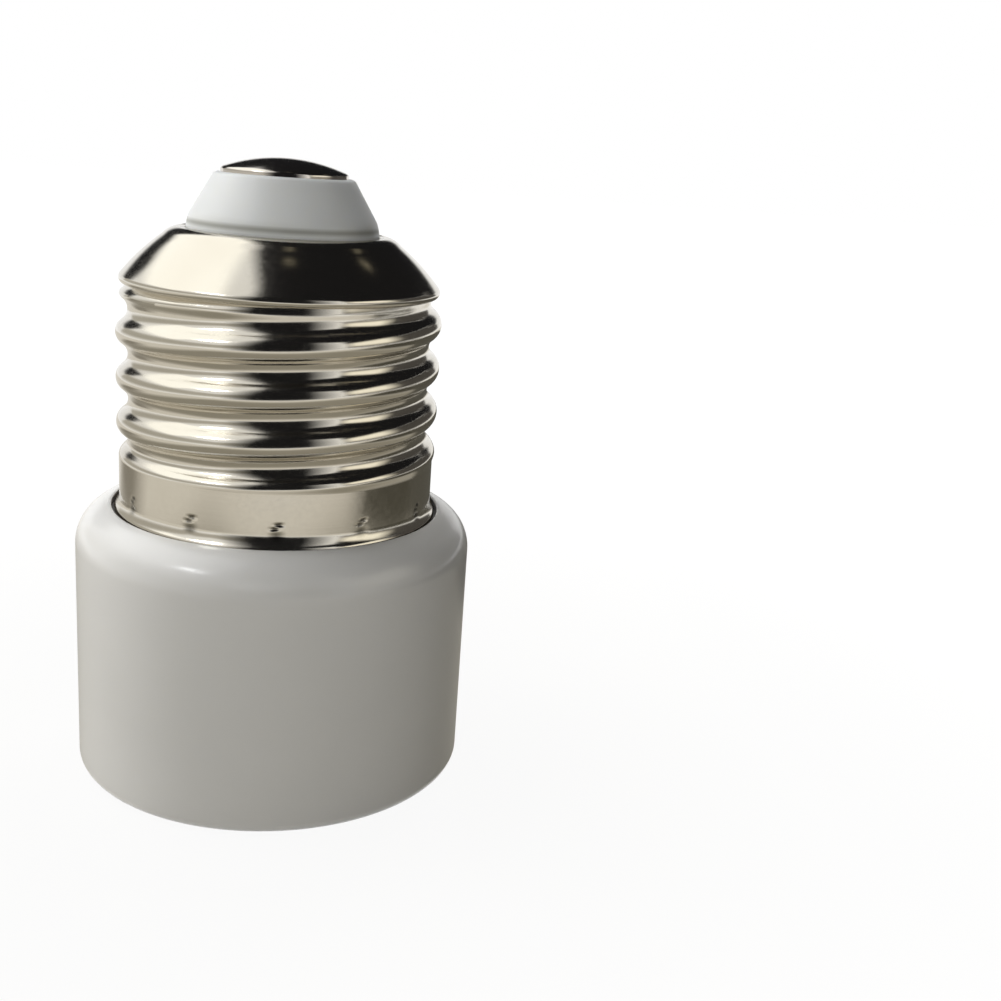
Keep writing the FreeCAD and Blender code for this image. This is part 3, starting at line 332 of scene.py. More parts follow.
class Shader:
    """A node material with short calls to add and link its nodes."""

    def __init__(self, name: str) -> None:
        """Start a material with one Principled shader.

        Args:
            name: Name of the material.
        """
        self.material = bpy.data.materials.new(name)
        self.material.use_nodes = True
        self.tree = self.material.node_tree
        self.shader = self.tree.nodes["Principled BSDF"]
        self.place = self.tree.nodes.new("ShaderNodeTexCoord").outputs["Object"]

    def add(self, kind: str, inputs: dict[str | int, object] | None = None, **settings: object) -> Node:
        """Add a node.

        Args:
            kind: The node's type, without the ShaderNode in front.
            inputs: Values or sockets by the input's name or number.
            settings: Properties of the node itself.

        Returns:
            The node.
        """
        node = self.tree.nodes.new("ShaderNode" + kind)
        for key, value in settings.items():
            setattr(node, key, value)
        for key, value in (inputs or {}).items():
            self.put(node.inputs[key], value)
        return node

    def put(self, socket: NodeSocket, value: object) -> None:
        """Link a socket to another, or write a plain value on it.

        Args:
            socket: The socket.
            value: The other socket, or the value.
        """
        if isinstance(value, NodeSocket):
            self.tree.links.new(value, socket)
        else:
            socket.default_value = value

    def set(self, **values: object) -> None:
        """Write values or links on the Principled shader.

        Args:
            values: Input names, with an underscore for each space.
        """
        for key, value in values.items():
            self.put(self.shader.inputs[key.replace("_", " ")], value)

    def maths(self, operation: str, *values: object) -> NodeSocket:
        """The result of one Math node."""
        return self.add("Math", dict(enumerate(values)), operation=operation).outputs["Value"]

    def vector(self, operation: str, *values: object) -> Node:
        """One Vector Math node."""
        return self.add("VectorMath", dict(enumerate(values)), operation=operation)

    def off(self, value: NodeSocket, middle: float) -> NodeSocket:
        """How far a value lies from a middle, above or below it."""
        return self.maths("ABSOLUTE", self.maths("SUBTRACT", value, middle))

    def noise(self, scale: float, detail: float, stretch: Place | None = None) -> NodeSocket:
        """A noise pattern on the piece.

        Args:
            scale: About how many lumps there are in a metre.
            detail: Number of finer layers.
            stretch: Scale of the pattern along each axis.

        Returns:
            The pattern's value.
        """
        place = self.place
        if stretch:
            place = self.add("Mapping", {"Vector": place, "Scale": stretch}).outputs["Vector"]
        return self.add("TexNoise", {"Vector": place, "Scale": scale, "Detail": detail}).outputs["Fac"]

    def between(self, value: NodeSocket, low: float, high: float,
                start: float = 0.3, end: float = 0.7) -> NodeSocket:
        """Map a pattern from one range to another, in even steps.

        Args:
            value: The pattern.
            low: Result at the start.
            high: Result at the end.
            start: Value that gives the low result.
            end: Value that gives the high result.

        Returns:
            The mapped value.
        """
        node = self.add("MapRange", {"Value": value, "From Min": start, "From Max": end,
                                     "To Min": low, "To Max": high})
        return node.outputs["Result"]

    def tint(self, value: NodeSocket, low: Color | NodeSocket, high: Color) -> NodeSocket:
        """Mix two colours by a pattern.

        Args:
            value: The pattern.
            low: Colour at 0, or another mix.
            high: Colour at 1.

        Returns:
            The mixed colour.
        """
        node = self.add("Mix", data_type="RGBA")
        self.put(node.inputs["Factor"], value)
        self.put(node.inputs["A"], low if isinstance(low, NodeSocket) else (*low, 1.0))
        self.put(node.inputs["B"], (*high, 1.0))
        return node.outputs["Result"]

    def bump(self, height: NodeSocket, depth: float, normal: object = None) -> NodeSocket:
        """Turn a pattern into relief.

        Args:
            height: The pattern.
            depth: Depth in mm.
            normal: A bump that comes before this one.

        Returns:
            The bumped normal.
        """
        inputs = {"Height": height, "Distance": depth * MM, "Strength": 1.0}
        if normal is not None:
            inputs["Normal"] = normal
        return self.add("Bump", inputs).outputs["Normal"]

    def uneven(self, pattern: NodeSocket, roughness: float, spread: float) -> NodeSocket:
        """A roughness that varies a little round its usual value.

        Args:
            pattern: What it follows.
            roughness: Its usual value.
            spread: Distance between its lowest and highest value.

        Returns:
            The roughness.
        """
        return self.between(pattern, roughness - 0.4 * spread, roughness + 0.6 * spread)

    def end_in_mix(self, share: NodeSocket, first: NodeSocket, second: NodeSocket) -> None:
        """End the material in a mix of two shaders.

        Args:
            share: How much of the second there is.
            first: The first shader.
            second: The second shader.
        """
        mix = self.add("MixShader", {0: share, 1: first, 2: second}).outputs[0]
        self.put(self.tree.nodes["Material Output"].inputs["Surface"], mix)


@dataclass(frozen=True)
class MouldedPlastic:
    """Moulded plastic with a faint orange peel and faint clouding.

    It may have painted shade in the joint inside joint_r, and a soft line of painted shade at groove_z.
    """

    name: str
    color: Color
    shade: Color
    roughness: float = 0.5
    peel: float = 0.004
    glow: float = 0.0
    coat: float = 0.0
    joint_r: float = 0.0
    joint_blur: float = 0.03
    joint_painted_shade: Color = (0.1, 0.09, 0.08)
    groove_z: float = 0.0
    groove_core: float = 0.05
    groove_half: float = 0.34
    groove_share: float = 0.75
    groove_painted_shade: Color = (0.3, 0.3, 0.26)

    def make(self) -> Material:
        """Build the material.

        Returns:
            The material.
        """
        shader = Shader(self.name)
        clouds = shader.noise(scale=90.0, detail=2.0)
        peel = shader.noise(scale=700.0, detail=1.0)
        grain = shader.noise(scale=900.0, detail=2.0)
        color = shader.tint(shader.between(clouds, 0.0, 1.0), self.color, self.shade)
        # Painted shade in the joint: the colour turns dark inside joint_r.
        if self.joint_r:
            flat = shader.vector("MULTIPLY", shader.place, (1.0, 1.0, 0.0)).outputs["Vector"]
            away = shader.vector("LENGTH", flat).outputs["Value"]
            inside = (self.joint_r - self.joint_blur) * MM
            outside = (self.joint_r + self.joint_blur) * MM
            color = shader.tint(shader.between(away, 1.0, 0.0, inside, outside), color, self.joint_painted_shade)
        # Painted shade: a soft dark band round groove_z.
        if self.groove_z:
            height = shader.add("SeparateXYZ", {0: shader.place}).outputs["Z"]
            away = shader.off(height, self.groove_z * MM)
            shadow = shader.between(away, self.groove_share, 0.0,
                                    self.groove_core * MM, self.groove_half * MM)
            color = shader.tint(shadow, color, self.groove_painted_shade)
        shader.set(
            Base_Color=color,
            Roughness=shader.uneven(grain, self.roughness, spread=0.05),
            Normal=shader.bump(peel, self.peel),
            Coat_Weight=self.coat,
            Coat_Roughness=0.12,
            Subsurface_Weight=self.glow,
            Subsurface_Radius=(1.0, 0.95, 0.85),
            Subsurface_Scale=1.5 * MM,
        )
        return shader.material


@dataclass(frozen=True)
class PlatedSheet:
    """Bright plating on pressed or rolled sheet, with faint lines round the axis.

    Its colour darkens where the named attribute is above 0.
    """

    name: str
    color: Color
    shade: Color
    roughness: float = 0.13
    waviness: float = 0.01
    lines: float = 0.001
    line_stretch: Place = (0.08, 0.08, 6.0)
    darkening: str = ""
    darkening_color: Color = (0.05, 0.045, 0.035)

    def make(self) -> Material:
        """Build the material.

        Returns:
            The material.
        """
        shader = Shader(self.name)
        tone = shader.between(shader.noise(scale=120.0, detail=3.0), 0.0, 1.0)
        color = shader.tint(tone, self.color, self.shade)
        if self.darkening:
            darkened = shader.add("Attribute", attribute_name=self.darkening).outputs["Fac"]
            ragged = shader.between(shader.noise(scale=1500.0, detail=2.0), 0.75, 1.0)
            color = shader.tint(shader.maths("MULTIPLY", darkened, ragged), color, self.darkening_color)
        wave = shader.noise(scale=260.0, detail=1.0)
        line = shader.noise(scale=900.0, detail=2.0, stretch=self.line_stretch)
        fleck = shader.noise(scale=2600.0, detail=2.0)
        shader.set(
            Base_Color=color,
            Metallic=1.0,
            Roughness=shader.uneven(fleck, self.roughness, spread=0.05),
            Normal=shader.bump(line, self.lines, shader.bump(wave, self.waviness)),
        )
        return shader.material


@dataclass(frozen=True)
class TintedLens:
    """Clear coloured plastic or glass."""

    name: str
    color: Color
    transmission: float
    roughness: float
    ior: float = 1.49

    def make(self) -> Material:
        """Build the material.

        Returns:
            The material.
        """
        shader = Shader(self.name)
        haze = shader.noise(scale=700.0, detail=2.0)
        shader.set(
            Base_Color=(*self.color, 1.0),
            Roughness=shader.uneven(haze, self.roughness, spread=0.1),
            Transmission_Weight=self.transmission,
            IOR=self.ior,
        )
        return shader.material


@dataclass(frozen=True)
class BareWire:
    """Drawn or cast bare metal, such as copper, tinned wire or solder."""

    name: str
    color: Color
    shade: Color
    roughness: float = 0.3
    scratch: float = 0.004

    def make(self) -> Material:
        """Build the material.

        Returns:
            The material.
        """
        shader = Shader(self.name)
        stain = shader.between(shader.noise(scale=600.0, detail=4.0), 0.0, 1.0)
        scratch = shader.noise(scale=3000.0, detail=2.0)
        shader.set(
            Base_Color=shader.tint(stain, self.color, self.shade),
            Metallic=1.0,
            Roughness=shader.uneven(scratch, self.roughness, spread=0.2),
            Normal=shader.bump(scratch, self.scratch),
        )
        return shader.material


Finish = MouldedPlastic | PlatedSheet | TintedLens | BareWire

WHITE_PLASTIC = MouldedPlastic("white moulded plastic", (0.8, 0.79, 0.765), (0.77, 0.76, 0.735),
                               roughness=0.3, peel=0.0008, glow=0.08, coat=0.45)
# The cup gets painted shade in the gap round the shell's seat.
CUP_PLASTIC = replace(WHITE_PLASTIC, name="white cup plastic", joint_r=13.56)
# The insulator gets a band of painted shade above its foot, at groove_z.
MILKY_PLASTIC = MouldedPlastic("milky insulator", (0.8, 0.81, 0.8), (0.76, 0.77, 0.76),
                               roughness=0.42, peel=0.006, glow=0.5, groove_z=45.4)
# The marks darken the shell: in the pricks, and as painted shade in the pull below each.
SHELL_PLATING = PlatedSheet("plated shell", (0.68, 0.645, 0.565), (0.64, 0.6, 0.52),
                            lines=0.0008, darkening=MARK_FIELD)
CONTACT_PLATING = PlatedSheet("plated contact", (0.7, 0.66, 0.6), (0.64, 0.6, 0.54), roughness=0.12)
RED_LENS = TintedLens("red lens", (0.62, 0.02, 0.02), transmission=0.45, roughness=0.14)
CLEAR_GLASS = TintedLens("clear glass", (0.95, 0.96, 0.95), transmission=1.0, roughness=0.05, ior=1.5)
BRASS = BareWire("brass strip", (0.78, 0.58, 0.28), (0.62, 0.44, 0.2), roughness=0.26)
COPPER = BareWire("copper wire", (0.8, 0.42, 0.27), (0.66, 0.32, 0.2))
TINNED = BareWire("tinned wire", (0.72, 0.72, 0.71), (0.6, 0.6, 0.6), roughness=0.28)
SOLDER = BareWire("solder", (0.7, 0.7, 0.71), (0.52, 0.52, 0.54), roughness=0.22)
BROWN_SHEATH = MouldedPlastic("brown sheath", (0.16, 0.07, 0.04), (0.13, 0.06, 0.035))
BLUE_SHEATH = MouldedPlastic("blue sheath", (0.05, 0.13, 0.42), (0.04, 0.1, 0.34))
RESISTOR_LACQUER = MouldedPlastic("resistor lacquer", (0.62, 0.5, 0.33), (0.54, 0.43, 0.28), roughness=0.55)
CLEAR_SLEEVE = MouldedPlastic("sleeve", (0.74, 0.7, 0.55), (0.68, 0.64, 0.5))


# Geometry Nodes


class Field:
    """A value in a Geometry Nodes tree that takes the usual signs of arithmetic."""

    def __init__(self, tree: GeometryTree, socket: NodeSocket) -> None:
        """Wrap a socket.

        Args:
            tree: The tree that it belongs to.
            socket: The socket.
        """
        self.tree = tree
        self.socket = socket

    def __add__(self, other: Number) -> Field:
        """The sum."""
        return self.tree.maths("ADD", self, other)

    def __sub__(self, other: Number) -> Field:
        """The difference."""
        return self.tree.maths("SUBTRACT", self, other)

    def __mul__(self, other: Number) -> Field:
        """The product."""
        return self.tree.maths("MULTIPLY", self, other)

    def __truediv__(self, other: Number) -> Field:
        """The quotient."""
        return self.tree.maths("DIVIDE", self, other)

    def __neg__(self) -> Field:
        """The value with its sign changed."""
        return self.tree.maths("MULTIPLY", self, -1.0)


Number = Field | float


class GeometryTree:
    """A Geometry Nodes tree with named inputs and arithmetic on fields."""

    def __init__(self, name: str) -> None:
        """Start a tree that takes and gives one geometry.

        Args:
            name: Name of the tree.
        """
        self.tree = bpy.data.node_groups.new(name, "GeometryNodeTree")
        self.tree.interface.new_socket("Geometry", in_out="INPUT", socket_type="NodeSocketGeometry")
        self.tree.interface.new_socket("Geometry", in_out="OUTPUT", socket_type="NodeSocketGeometry")
        self.inside = self.tree.nodes.new("NodeGroupInput")
        self.outside = self.tree.nodes.new("NodeGroupOutput")
        self.values: dict[str, float] = {}

    def size(self, name: str, value: float) -> Field:
        """Add a named input.

        Args:
            name: Name of the input.
            value: The value that it gets.

        Returns:
            Its value inside the tree.
        """
        self.tree.interface.new_socket(name, in_out="INPUT", socket_type="NodeSocketFloat")
        self.values[name] = value
        return Field(self, self.inside.outputs[name])

    def lengths(self, **lengths: float) -> list[Field]:
        """Add a named input for each length in mm, with a space for each underscore."""
        return [self.size(name.replace("_", " "), value * MM) for name, value in lengths.items()]

    def node(self, kind: str, *values: object, **settings: object) -> Node:
        """Add a node.

        Args:
            kind: The node's full type.
            values: Fields, sockets or numbers for its first inputs.
            settings: Properties of the node.

        Returns:
            The node.
        """
        node = self.tree.nodes.new(kind)
        for key, value in settings.items():
            setattr(node, key, value)
        for socket, value in zip(node.inputs, values):
            if isinstance(value, Field):
                value = value.socket
            if isinstance(value, NodeSocket):
                self.tree.links.new(value, socket)
            elif value is not None:
                socket.default_value = value
        return node

    def maths(self, operation: str, *values: Number) -> Field:
        """The result of one Math node."""
        return Field(self, self.node("ShaderNodeMath", *values, operation=operation).outputs[0])

    def rise(self, value: Field, low: Number, high: Number, from_value: Number = 0.0,
             to_value: Number = 1.0) -> Field:
        """A smooth step from one value to another.

        Args:
            value: What the step follows.
            low: Where the step starts.
            high: Where the step ends.
            from_value: Result below the step.
            to_value: Result above it.

        Returns:
            The stepped value.
        """
        node = self.node("ShaderNodeMapRange", value, low, high, from_value, to_value,
                         interpolation_type="SMOOTHSTEP")
        return Field(self, node.outputs["Result"])

    def finish(self, geometry: NodeSocket, material: Material) -> None:
        """End the tree in plain geometry with one material.

        Args:
            geometry: The geometry to end with.
            material: Its material.
        """
        plain = self.node("GeometryNodeRealizeInstances", geometry).outputs[0]
        dressed = self.node("GeometryNodeSetMaterial", plain)
        dressed.inputs["Material"].default_value = material
        self.tree.links.new(dressed.outputs[0], self.outside.inputs[0])

    def apply(self, obj: Object) -> Mesh:
        """Run the tree on an object and return the result.

        Args:
            obj: The object, whose own mesh stays as it is.

        Returns:
            The new mesh.
        """
        modifier = obj.modifiers.new(self.tree.name, "NODES")
        modifier.node_group = self.tree
        for item in self.tree.interface.items_tree:
            if item.in_out == "INPUT" and item.name in self.values:
                modifier[item.identifier] = self.values[item.name]
        mesh = evaluated_mesh(obj)
        obj.modifiers.remove(modifier)
        return mesh


# Pieces


@dataclass
class Housing:
    """The white cup with its rounded shoulder, shell seat and hollow neck."""

    outer_r: float = 16.4
    rim_round: float = 0.9
    mouth_r: float = 15.18
    mouth_round: float = 0.22
    ledge_z: float = 2.5
    cavity_r: float = 14.3
    deck_z: float = 19.9
    deck_top_z: float = 21.4
    deck_hole_r: float = 6.2
    side_z: float = 19.1
    shoulder_r: float = 3.3
    seat_r: float = 13.52
    seat_round: float = 0.14
    seat_z: float = 21.9
    neck_foot_r: float = 12.39
    neck_step_z: float = 26.2
    neck_r: float = 11.62
    neck_bore_r: float = 10.2
    neck_top_z: float = 38.79
    around: int = 288

    def shoulder(self) -> list[Point]:
        """The shoulder's arc.

        Returns:
            Its points, from the side up to the seat's edge.
        """
        centre = (self.outer_r - self.shoulder_r, self.side_z)
        reach = self.seat_r + self.seat_round - centre[0]
        return arc(centre, self.shoulder_r, 0.0, math.degrees(math.acos(reach / self.shoulder_r)), steps=24)

    def outline(self) -> list[Point]:
        """The whole section.

        Returns:
            Its points, from the mouth's edge round to the mouth again.
        """
        top = self.shoulder()
        edge = (self.seat_r + self.seat_round, top[-1][1] - self.seat_round)
        rim = (self.outer_r - self.rim_round, self.rim_round)
        return joined(
            arc((self.mouth_r + self.mouth_round, self.mouth_round), self.mouth_round,
                180.0, 270.0, steps=5),
            arc(rim, self.rim_round, -90.0, 0.0, steps=12),
            stepped((self.outer_r, self.rim_round), (self.outer_r, self.side_z), size=1.2),
            top,
            arc(edge, self.seat_round, 90.0, 180.0, steps=5),
            [(self.seat_r, self.seat_z), (self.neck_foot_r, self.seat_z),
             (self.neck_foot_r, self.neck_step_z), (self.neck_r, self.neck_step_z),
             (self.neck_r, self.neck_top_z), (self.neck_bore_r, self.neck_top_z),
             (self.neck_bore_r, self.deck_top_z), (self.deck_hole_r, self.deck_top_z),
             (self.deck_hole_r, self.deck_z), (self.cavity_r, self.deck_z),
             (self.cavity_r, self.ledge_z), (self.mouth_r, self.ledge_z)],
        )

    def build(self) -> None:
        """Make the housing and dress it."""
        piece = finish_mesh("housing_cup", turned(self.outline(), self.around, Surface.RING))
        settle(piece, CUP_PLASTIC.make(), "white_plastic", "housing")


@dataclass
class ScrewShell:
    """The plated shell: dome, rolled rim, round thread, plain skirt, marks and flared lip."""

    sheet: float = 0.35
    seat_z: float = 21.9
    lip_r: float = 13.3
    lip_edge: tuple[Point, ...] = ((-0.16, 0.0), (-0.04, 0.05), (0.0, 0.16))
    lip_knee_z: float = 22.27
    lip_hollow: float = 0.1
    lip_top_z: float = 23.25
    skirt_r: float = 12.9
    skirt_top_z: float = 26.45
    pitch: float = 3.629
    crest_r: float = 13.075
    root_r: float = 12.13
    front_crest_z: float = 37.34
    run_out: float = 1.1
    rim_r: float = 12.8
    rim_z: float = 40.79
    rim_roll: float = 0.45
    roll_end: float = 41.0
    dome_bulge: float = 0.14
    shoulder: Point = (9.5, 44.22)
    shoulder_mid: Point = (8.98, 44.64)
    hole_edge_r: float = 8.32
    hole_r: float = 7.8
    dome_top_z: float = 44.88
    mark_count: int = 12
    mark_z: float = 23.95
    mark_width: float = 0.36
    mark_height: float = 0.27
    mark_depth: float = 0.06
    mark_spread: float = 0.17
    pull_width: float = 0.75
    pull_height: float = 0.55
    pull_depth: float = 0.04
    pull_drop: float = 0.72
    dent_flat: float = 0.1
    darkening_start: float = 0.05
    darkening_full: float = 0.5
    pull_painted_shade: float = 0.9
    darkening_share: float = 0.95
    marks_top_z: float = 24.45
    mark_step: float = 0.06
    plain_step: float = 0.28
    thread_gap: float = 0.04
    thread_step: float = 0.18
    around: int = 336
    sharp: float = 40.0

    def outline(self) -> list[Point]:
        """The outer line, without the thread.

        Returns:
            Its points, from the lip's lower edge up to the hole.
        """
        under_z = self.rim_z - self.rim_roll
        centre = (self.rim_r - self.rim_roll, self.rim_z)
        roll = arc(centre, self.rim_roll, -90.0, self.roll_end, steps=12)
        edge = (self.hole_edge_r, self.dome_top_z)
        return joined(
            [(self.lip_r + out, self.seat_z + up) for out, up in self.lip_edge],
            bowed((self.lip_r, self.lip_knee_z), (self.skirt_r, self.lip_top_z), -self.lip_hollow, steps=6),
            stepped((self.skirt_r, self.lip_top_z), (self.skirt_r, self.marks_top_z), self.mark_step),
            stepped((self.skirt_r, self.marks_top_z + self.plain_step),
                    (self.skirt_r, self.skirt_top_z), self.plain_step),
            stepped((self.root_r, self.skirt_top_z + self.thread_gap),
                    (self.root_r, under_z), self.thread_step),
            roll,
            bowed(roll[-1], self.shoulder, self.dome_bulge, steps=12),
            through(self.shoulder, self.shoulder_mid, edge, steps=6),
            [edge, (self.hole_r, self.dome_top_z)],
        )

    def thread_radius(self, tree: GeometryTree, z: Field, turn: Field, skirt: Field,
                      ends: tuple[Field, Field]) -> Field:
        """Radius of the round thread, which rises from the skirt and runs out below the rim.

        Args:
            tree: The tree.
            z: Height of a point.
            turn: Its angle from the front.
            skirt: Radius of the skirt.
            ends: Height of the thread's start and end.

        Returns:
            The radius.
        """
        pitch, crest, base, front, fade = tree.lengths(
            pitch=self.pitch, crest_radius=self.crest_r, root_radius=self.root_r,
            front_crest_height=self.front_crest_z, run_out=self.run_out)
        maths = tree.maths
        low, high = ends
        half = pitch / 2.0
        climb = turn / (2.0 * math.pi) * pitch
        along = maths("ABSOLUTE", maths("WRAP", z - front - climb, half, -half))
        tall = crest - base
        bend = (half * half + tall * tall) / (tall * 4.0)
        bend_square = bend * bend

        def drop(distance: Field) -> Field:
            """How far the arc lies below its top at this distance from it."""
            return bend - maths("SQRT", maths("MAXIMUM", bend_square - distance * distance, 0.0))

        root_line = base + drop(half - along)
        gap = crest - drop(along) - root_line
        wave = root_line + gap * maths("LESS_THAN", along, pitch / 4.0)
        wave = wave + (base - wave) * tree.rise(z, high - fade, high)
        return skirt + (wave - skirt) * tree.rise(z, low, low + fade)

    def marks(self, tree: GeometryTree, z: Field, turn: Field, skirt: Field) -> tuple[Field, Field]:
        """The marks: pairs of pricks with a faint pull below each pair.

        Args:
            tree: The tree.
            z: Height of a point.
            turn: Its angle from the front.
            skirt: Radius of the skirt.

        Returns:
            How far the sheet is pressed in, and how much its colour darkens.
        """
        count = tree.size("number of marks", float(self.mark_count))
        mark_z, width, height, depth, spread = tree.lengths(
            mark_height=self.mark_z, prick_half_width=self.mark_width, prick_half_height=self.mark_height,
            prick_depth=self.mark_depth, prick_offset=self.mark_spread)
        pull_width, pull_height, pull_depth, pull_drop = tree.lengths(
            pull_half_width=self.pull_width, pull_half_height=self.pull_height,
            pull_depth=self.pull_depth, pull_drop=self.pull_drop)
        maths = tree.maths
        half_step = maths("DIVIDE", 2.0 * math.pi, count) / 2.0
        aside = maths("WRAP", turn, half_step, -half_step) * skirt
        above = z - mark_z

        def dent(right: Number, up: Number, wide: Field, tall: Field, deep: Field) -> Field:
            """Depth of one oval dent.

            Args:
                right: How far its middle lies to the right of the mark.
                up: How far its middle lies above the mark.
                wide: Half its width.
                tall: Half its height.
                deep: Its depth in the middle.

            Returns:
                How far it presses each point in.
            """
            across = (aside - right) / wide
            along = (above - up) / tall
            away = maths("SQRT", across * across + along * along)
            return tree.rise(away, self.dent_flat, 1.0, deep, 0.0)

        upper = dent(spread, spread, width, height, depth)
        lower = dent(-spread, -spread, width, height, depth)
        prick = maths("MAXIMUM", upper, lower)
        pull = dent(0.0, -pull_drop, pull_width, pull_height, pull_depth)
        # The colour darkens in the pricks, and the pull below them gets painted shade.
        prick_darkening = tree.rise(prick / depth, self.darkening_start, self.darkening_full)
        darkened = maths("MAXIMUM", prick_darkening, pull / pull_depth * self.pull_painted_shade)
        return maths("MAXIMUM", prick, pull), darkened * self.darkening_share

    def tree(self, material: Material) -> GeometryTree:
        """The rule that raises the thread and presses the marks.

        Args:
            material: The shell's material.

        Returns:
            The tree.
        """
        tree = GeometryTree("thread and marks")
        maths = tree.maths
        skirt, low, high = tree.lengths(skirt_radius=self.skirt_r, thread_start=self.skirt_top_z,
                                        thread_end=self.rim_z - self.rim_roll)
        place = tree.node("GeometryNodeInputPosition").outputs[0]
        x, y, z = (Field(tree, part) for part in tree.node("ShaderNodeSeparateXYZ", place).outputs)
        turn = maths("ARCTAN2", y, x) + math.pi / 2.0

        def scaled(geometry: NodeSocket, chosen: Field, share: Field) -> NodeSocket:
            """The geometry with the chosen points' distance from the axis scaled."""
            target = tree.node("ShaderNodeCombineXYZ", x * share, y * share, z).outputs[0]
            return tree.node("GeometryNodeSetPosition", geometry, chosen, target).outputs[0]

        in_thread = maths("GREATER_THAN", z, low) * maths("LESS_THAN", z, high)
        radius = self.thread_radius(tree, z, turn, skirt, (low, high))
        threaded = scaled(tree.inside.outputs[0], in_thread, radius / maths("SQRT", x * x + y * y))
        on_skirt = maths("LESS_THAN", z, low)
        press, darkened = self.marks(tree, z, turn, skirt)
        marked = scaled(threaded, on_skirt, (skirt - press) / skirt)
        stored = tree.node("GeometryNodeStoreNamedAttribute", marked, None, MARK_FIELD,
                           data_type="FLOAT", domain="POINT")
        tree.tree.links.new((darkened * on_skirt).socket, stored.inputs["Value"])
        tree.finish(stored.outputs[0], material)
        return tree

    def build(self) -> None:
        """Make the shell and dress it."""
        plating = SHELL_PLATING.make()
        blank = finish_mesh("shell_blank", turned(self.outline(), self.around))
        piece = finish_mesh("threaded_shell", self.tree(plating).apply(blank), self.sharp)
        bpy.data.objects.remove(blank)
        wall = piece.modifiers.new("wall", "SOLIDIFY")
        wall.thickness = self.sheet * MM
        wall.offset = -1.0
        settle(piece, plating, "plated_shell", "screw_shell")


@dataclass
class Nose:
    """The milky insulator and the domed contact on top of it."""

    neck_top_z: float = 38.79
    neck_bore_r: float = 10.1
    neck_step_z: float = 39.19
    skirt_r: float = 11.62
    skirt_top_z: float = 40.79
    flange_r: float = 8.85
    flange_z: float = 43.53
    foot_r: float = 7.66
    foot_z: float = 44.23
    ring_z: float = 45.02
    groove: Point = (7.61, 45.3)
    skirt_edge: Point = (7.54, 45.6)
    skirt_bend: Point = (7.47, 45.85)
    waist: Point = (7.36, 46.1)
    top_r: float = 5.68
    top_z: float = 49.24
    edge: float = 0.5
    edge_inset: float = 0.9
    bore_r: float = 1.22
    ceiling_z: float = 46.49
    hollow_r: float = 5.1
    knee_r: float = 6.1
    knee_rise: float = 0.65
    around: int = 192
    contact_r: float = 5.05
    contact_rim: float = 0.38
    contact_dome: float = 0.98
    contact_bend: Point = (0.07, 0.02)
    contact_edge: float = 0.22
    contact_hollow_r: float = 4.65
    contact_hollow: float = 0.19
    contact_wall: float = 0.6
    shank_r: float = 1.2
    rivet_z: float = 46.09
    rivet_r: float = 1.9
    rivet_t: float = 0.5
    contact_around: int = 128

    def insulator_outline(self) -> list[Point]:
        """The section of the insulator.

        Returns:
            Its points, from the skirt's foot up over the top and down inside.
        """
        lean = math.atan2(self.top_z - self.waist[1], self.waist[0] - self.top_r)
        centre = (self.top_r - self.edge * self.edge_inset, self.top_z - self.edge)
        side_end = (centre[0] + self.edge * math.sin(lean), centre[1] + self.edge * math.cos(lean))
        return joined(
            [(self.skirt_r, self.neck_top_z), (self.skirt_r, self.skirt_top_z),
             (self.flange_r, self.flange_z), (self.foot_r, self.foot_z)],
            stepped((self.foot_r, self.foot_z), (self.foot_r, self.ring_z), size=0.4),
            through((self.foot_r, self.ring_z), self.groove, self.skirt_edge, steps=10),
            through(self.skirt_edge, self.skirt_bend, self.waist, steps=4),
            stepped(self.waist, side_end, size=0.5),
            arc(centre, self.edge, 90.0 - math.degrees(lean), 90.0, steps=7),
            [(self.bore_r, self.top_z), (self.bore_r, self.ceiling_z), (self.hollow_r, self.ceiling_z),
             (self.knee_r, self.foot_z + self.knee_rise), (self.neck_bore_r, self.neck_step_z),
             (self.neck_bore_r, self.neck_top_z)],
        )

    def contact_outline(self) -> list[Point]:
        """The section of the contact.

        Returns:
            Its points, from the tip out and back under it to the rivet.
        """
        rim_z = self.top_z + self.contact_rim
        tip_z = rim_z + self.contact_dome
        ball = (self.contact_r ** 2 + self.contact_dome ** 2) / (2.0 * self.contact_dome)
        spread = math.degrees(math.asin(self.contact_r / ball))
        crown = arc((0.0, tip_z - ball), ball, 90.0, 90.0 - spread, steps=14)
        bend = (self.contact_r - self.contact_bend[0], rim_z - self.contact_bend[1])
        low = self.rivet_z - self.rivet_t
        return joined(
            [(0.0, tip_z)], crown[1:-1],
            through(crown[-2], bend, (self.contact_r, rim_z - self.contact_edge), steps=6),
            [(self.contact_r, self.top_z), (self.contact_hollow_r, self.top_z),
             (self.contact_hollow_r, self.top_z + self.contact_hollow),
             (self.shank_r, tip_z - self.contact_wall),
             (self.shank_r, self.rivet_z), (self.rivet_r, self.rivet_z),
             (self.rivet_r, self.rivet_z - self.rivet_t / 2.0), (self.shank_r, low), (0.0, low)],
        )

    def build(self) -> None:
        """Make both pieces and dress them."""
        cap = finish_mesh("nose_cap", turned(self.insulator_outline(), self.around, Surface.RING))
        settle(cap, MILKY_PLASTIC.make(), "milky_plastic", "nose_insulator")
        button = finish_mesh("contact_button", turned(self.contact_outline(), self.contact_around))
        settle(button, CONTACT_PLATING.make(), "plated_contact", "centre_contact")


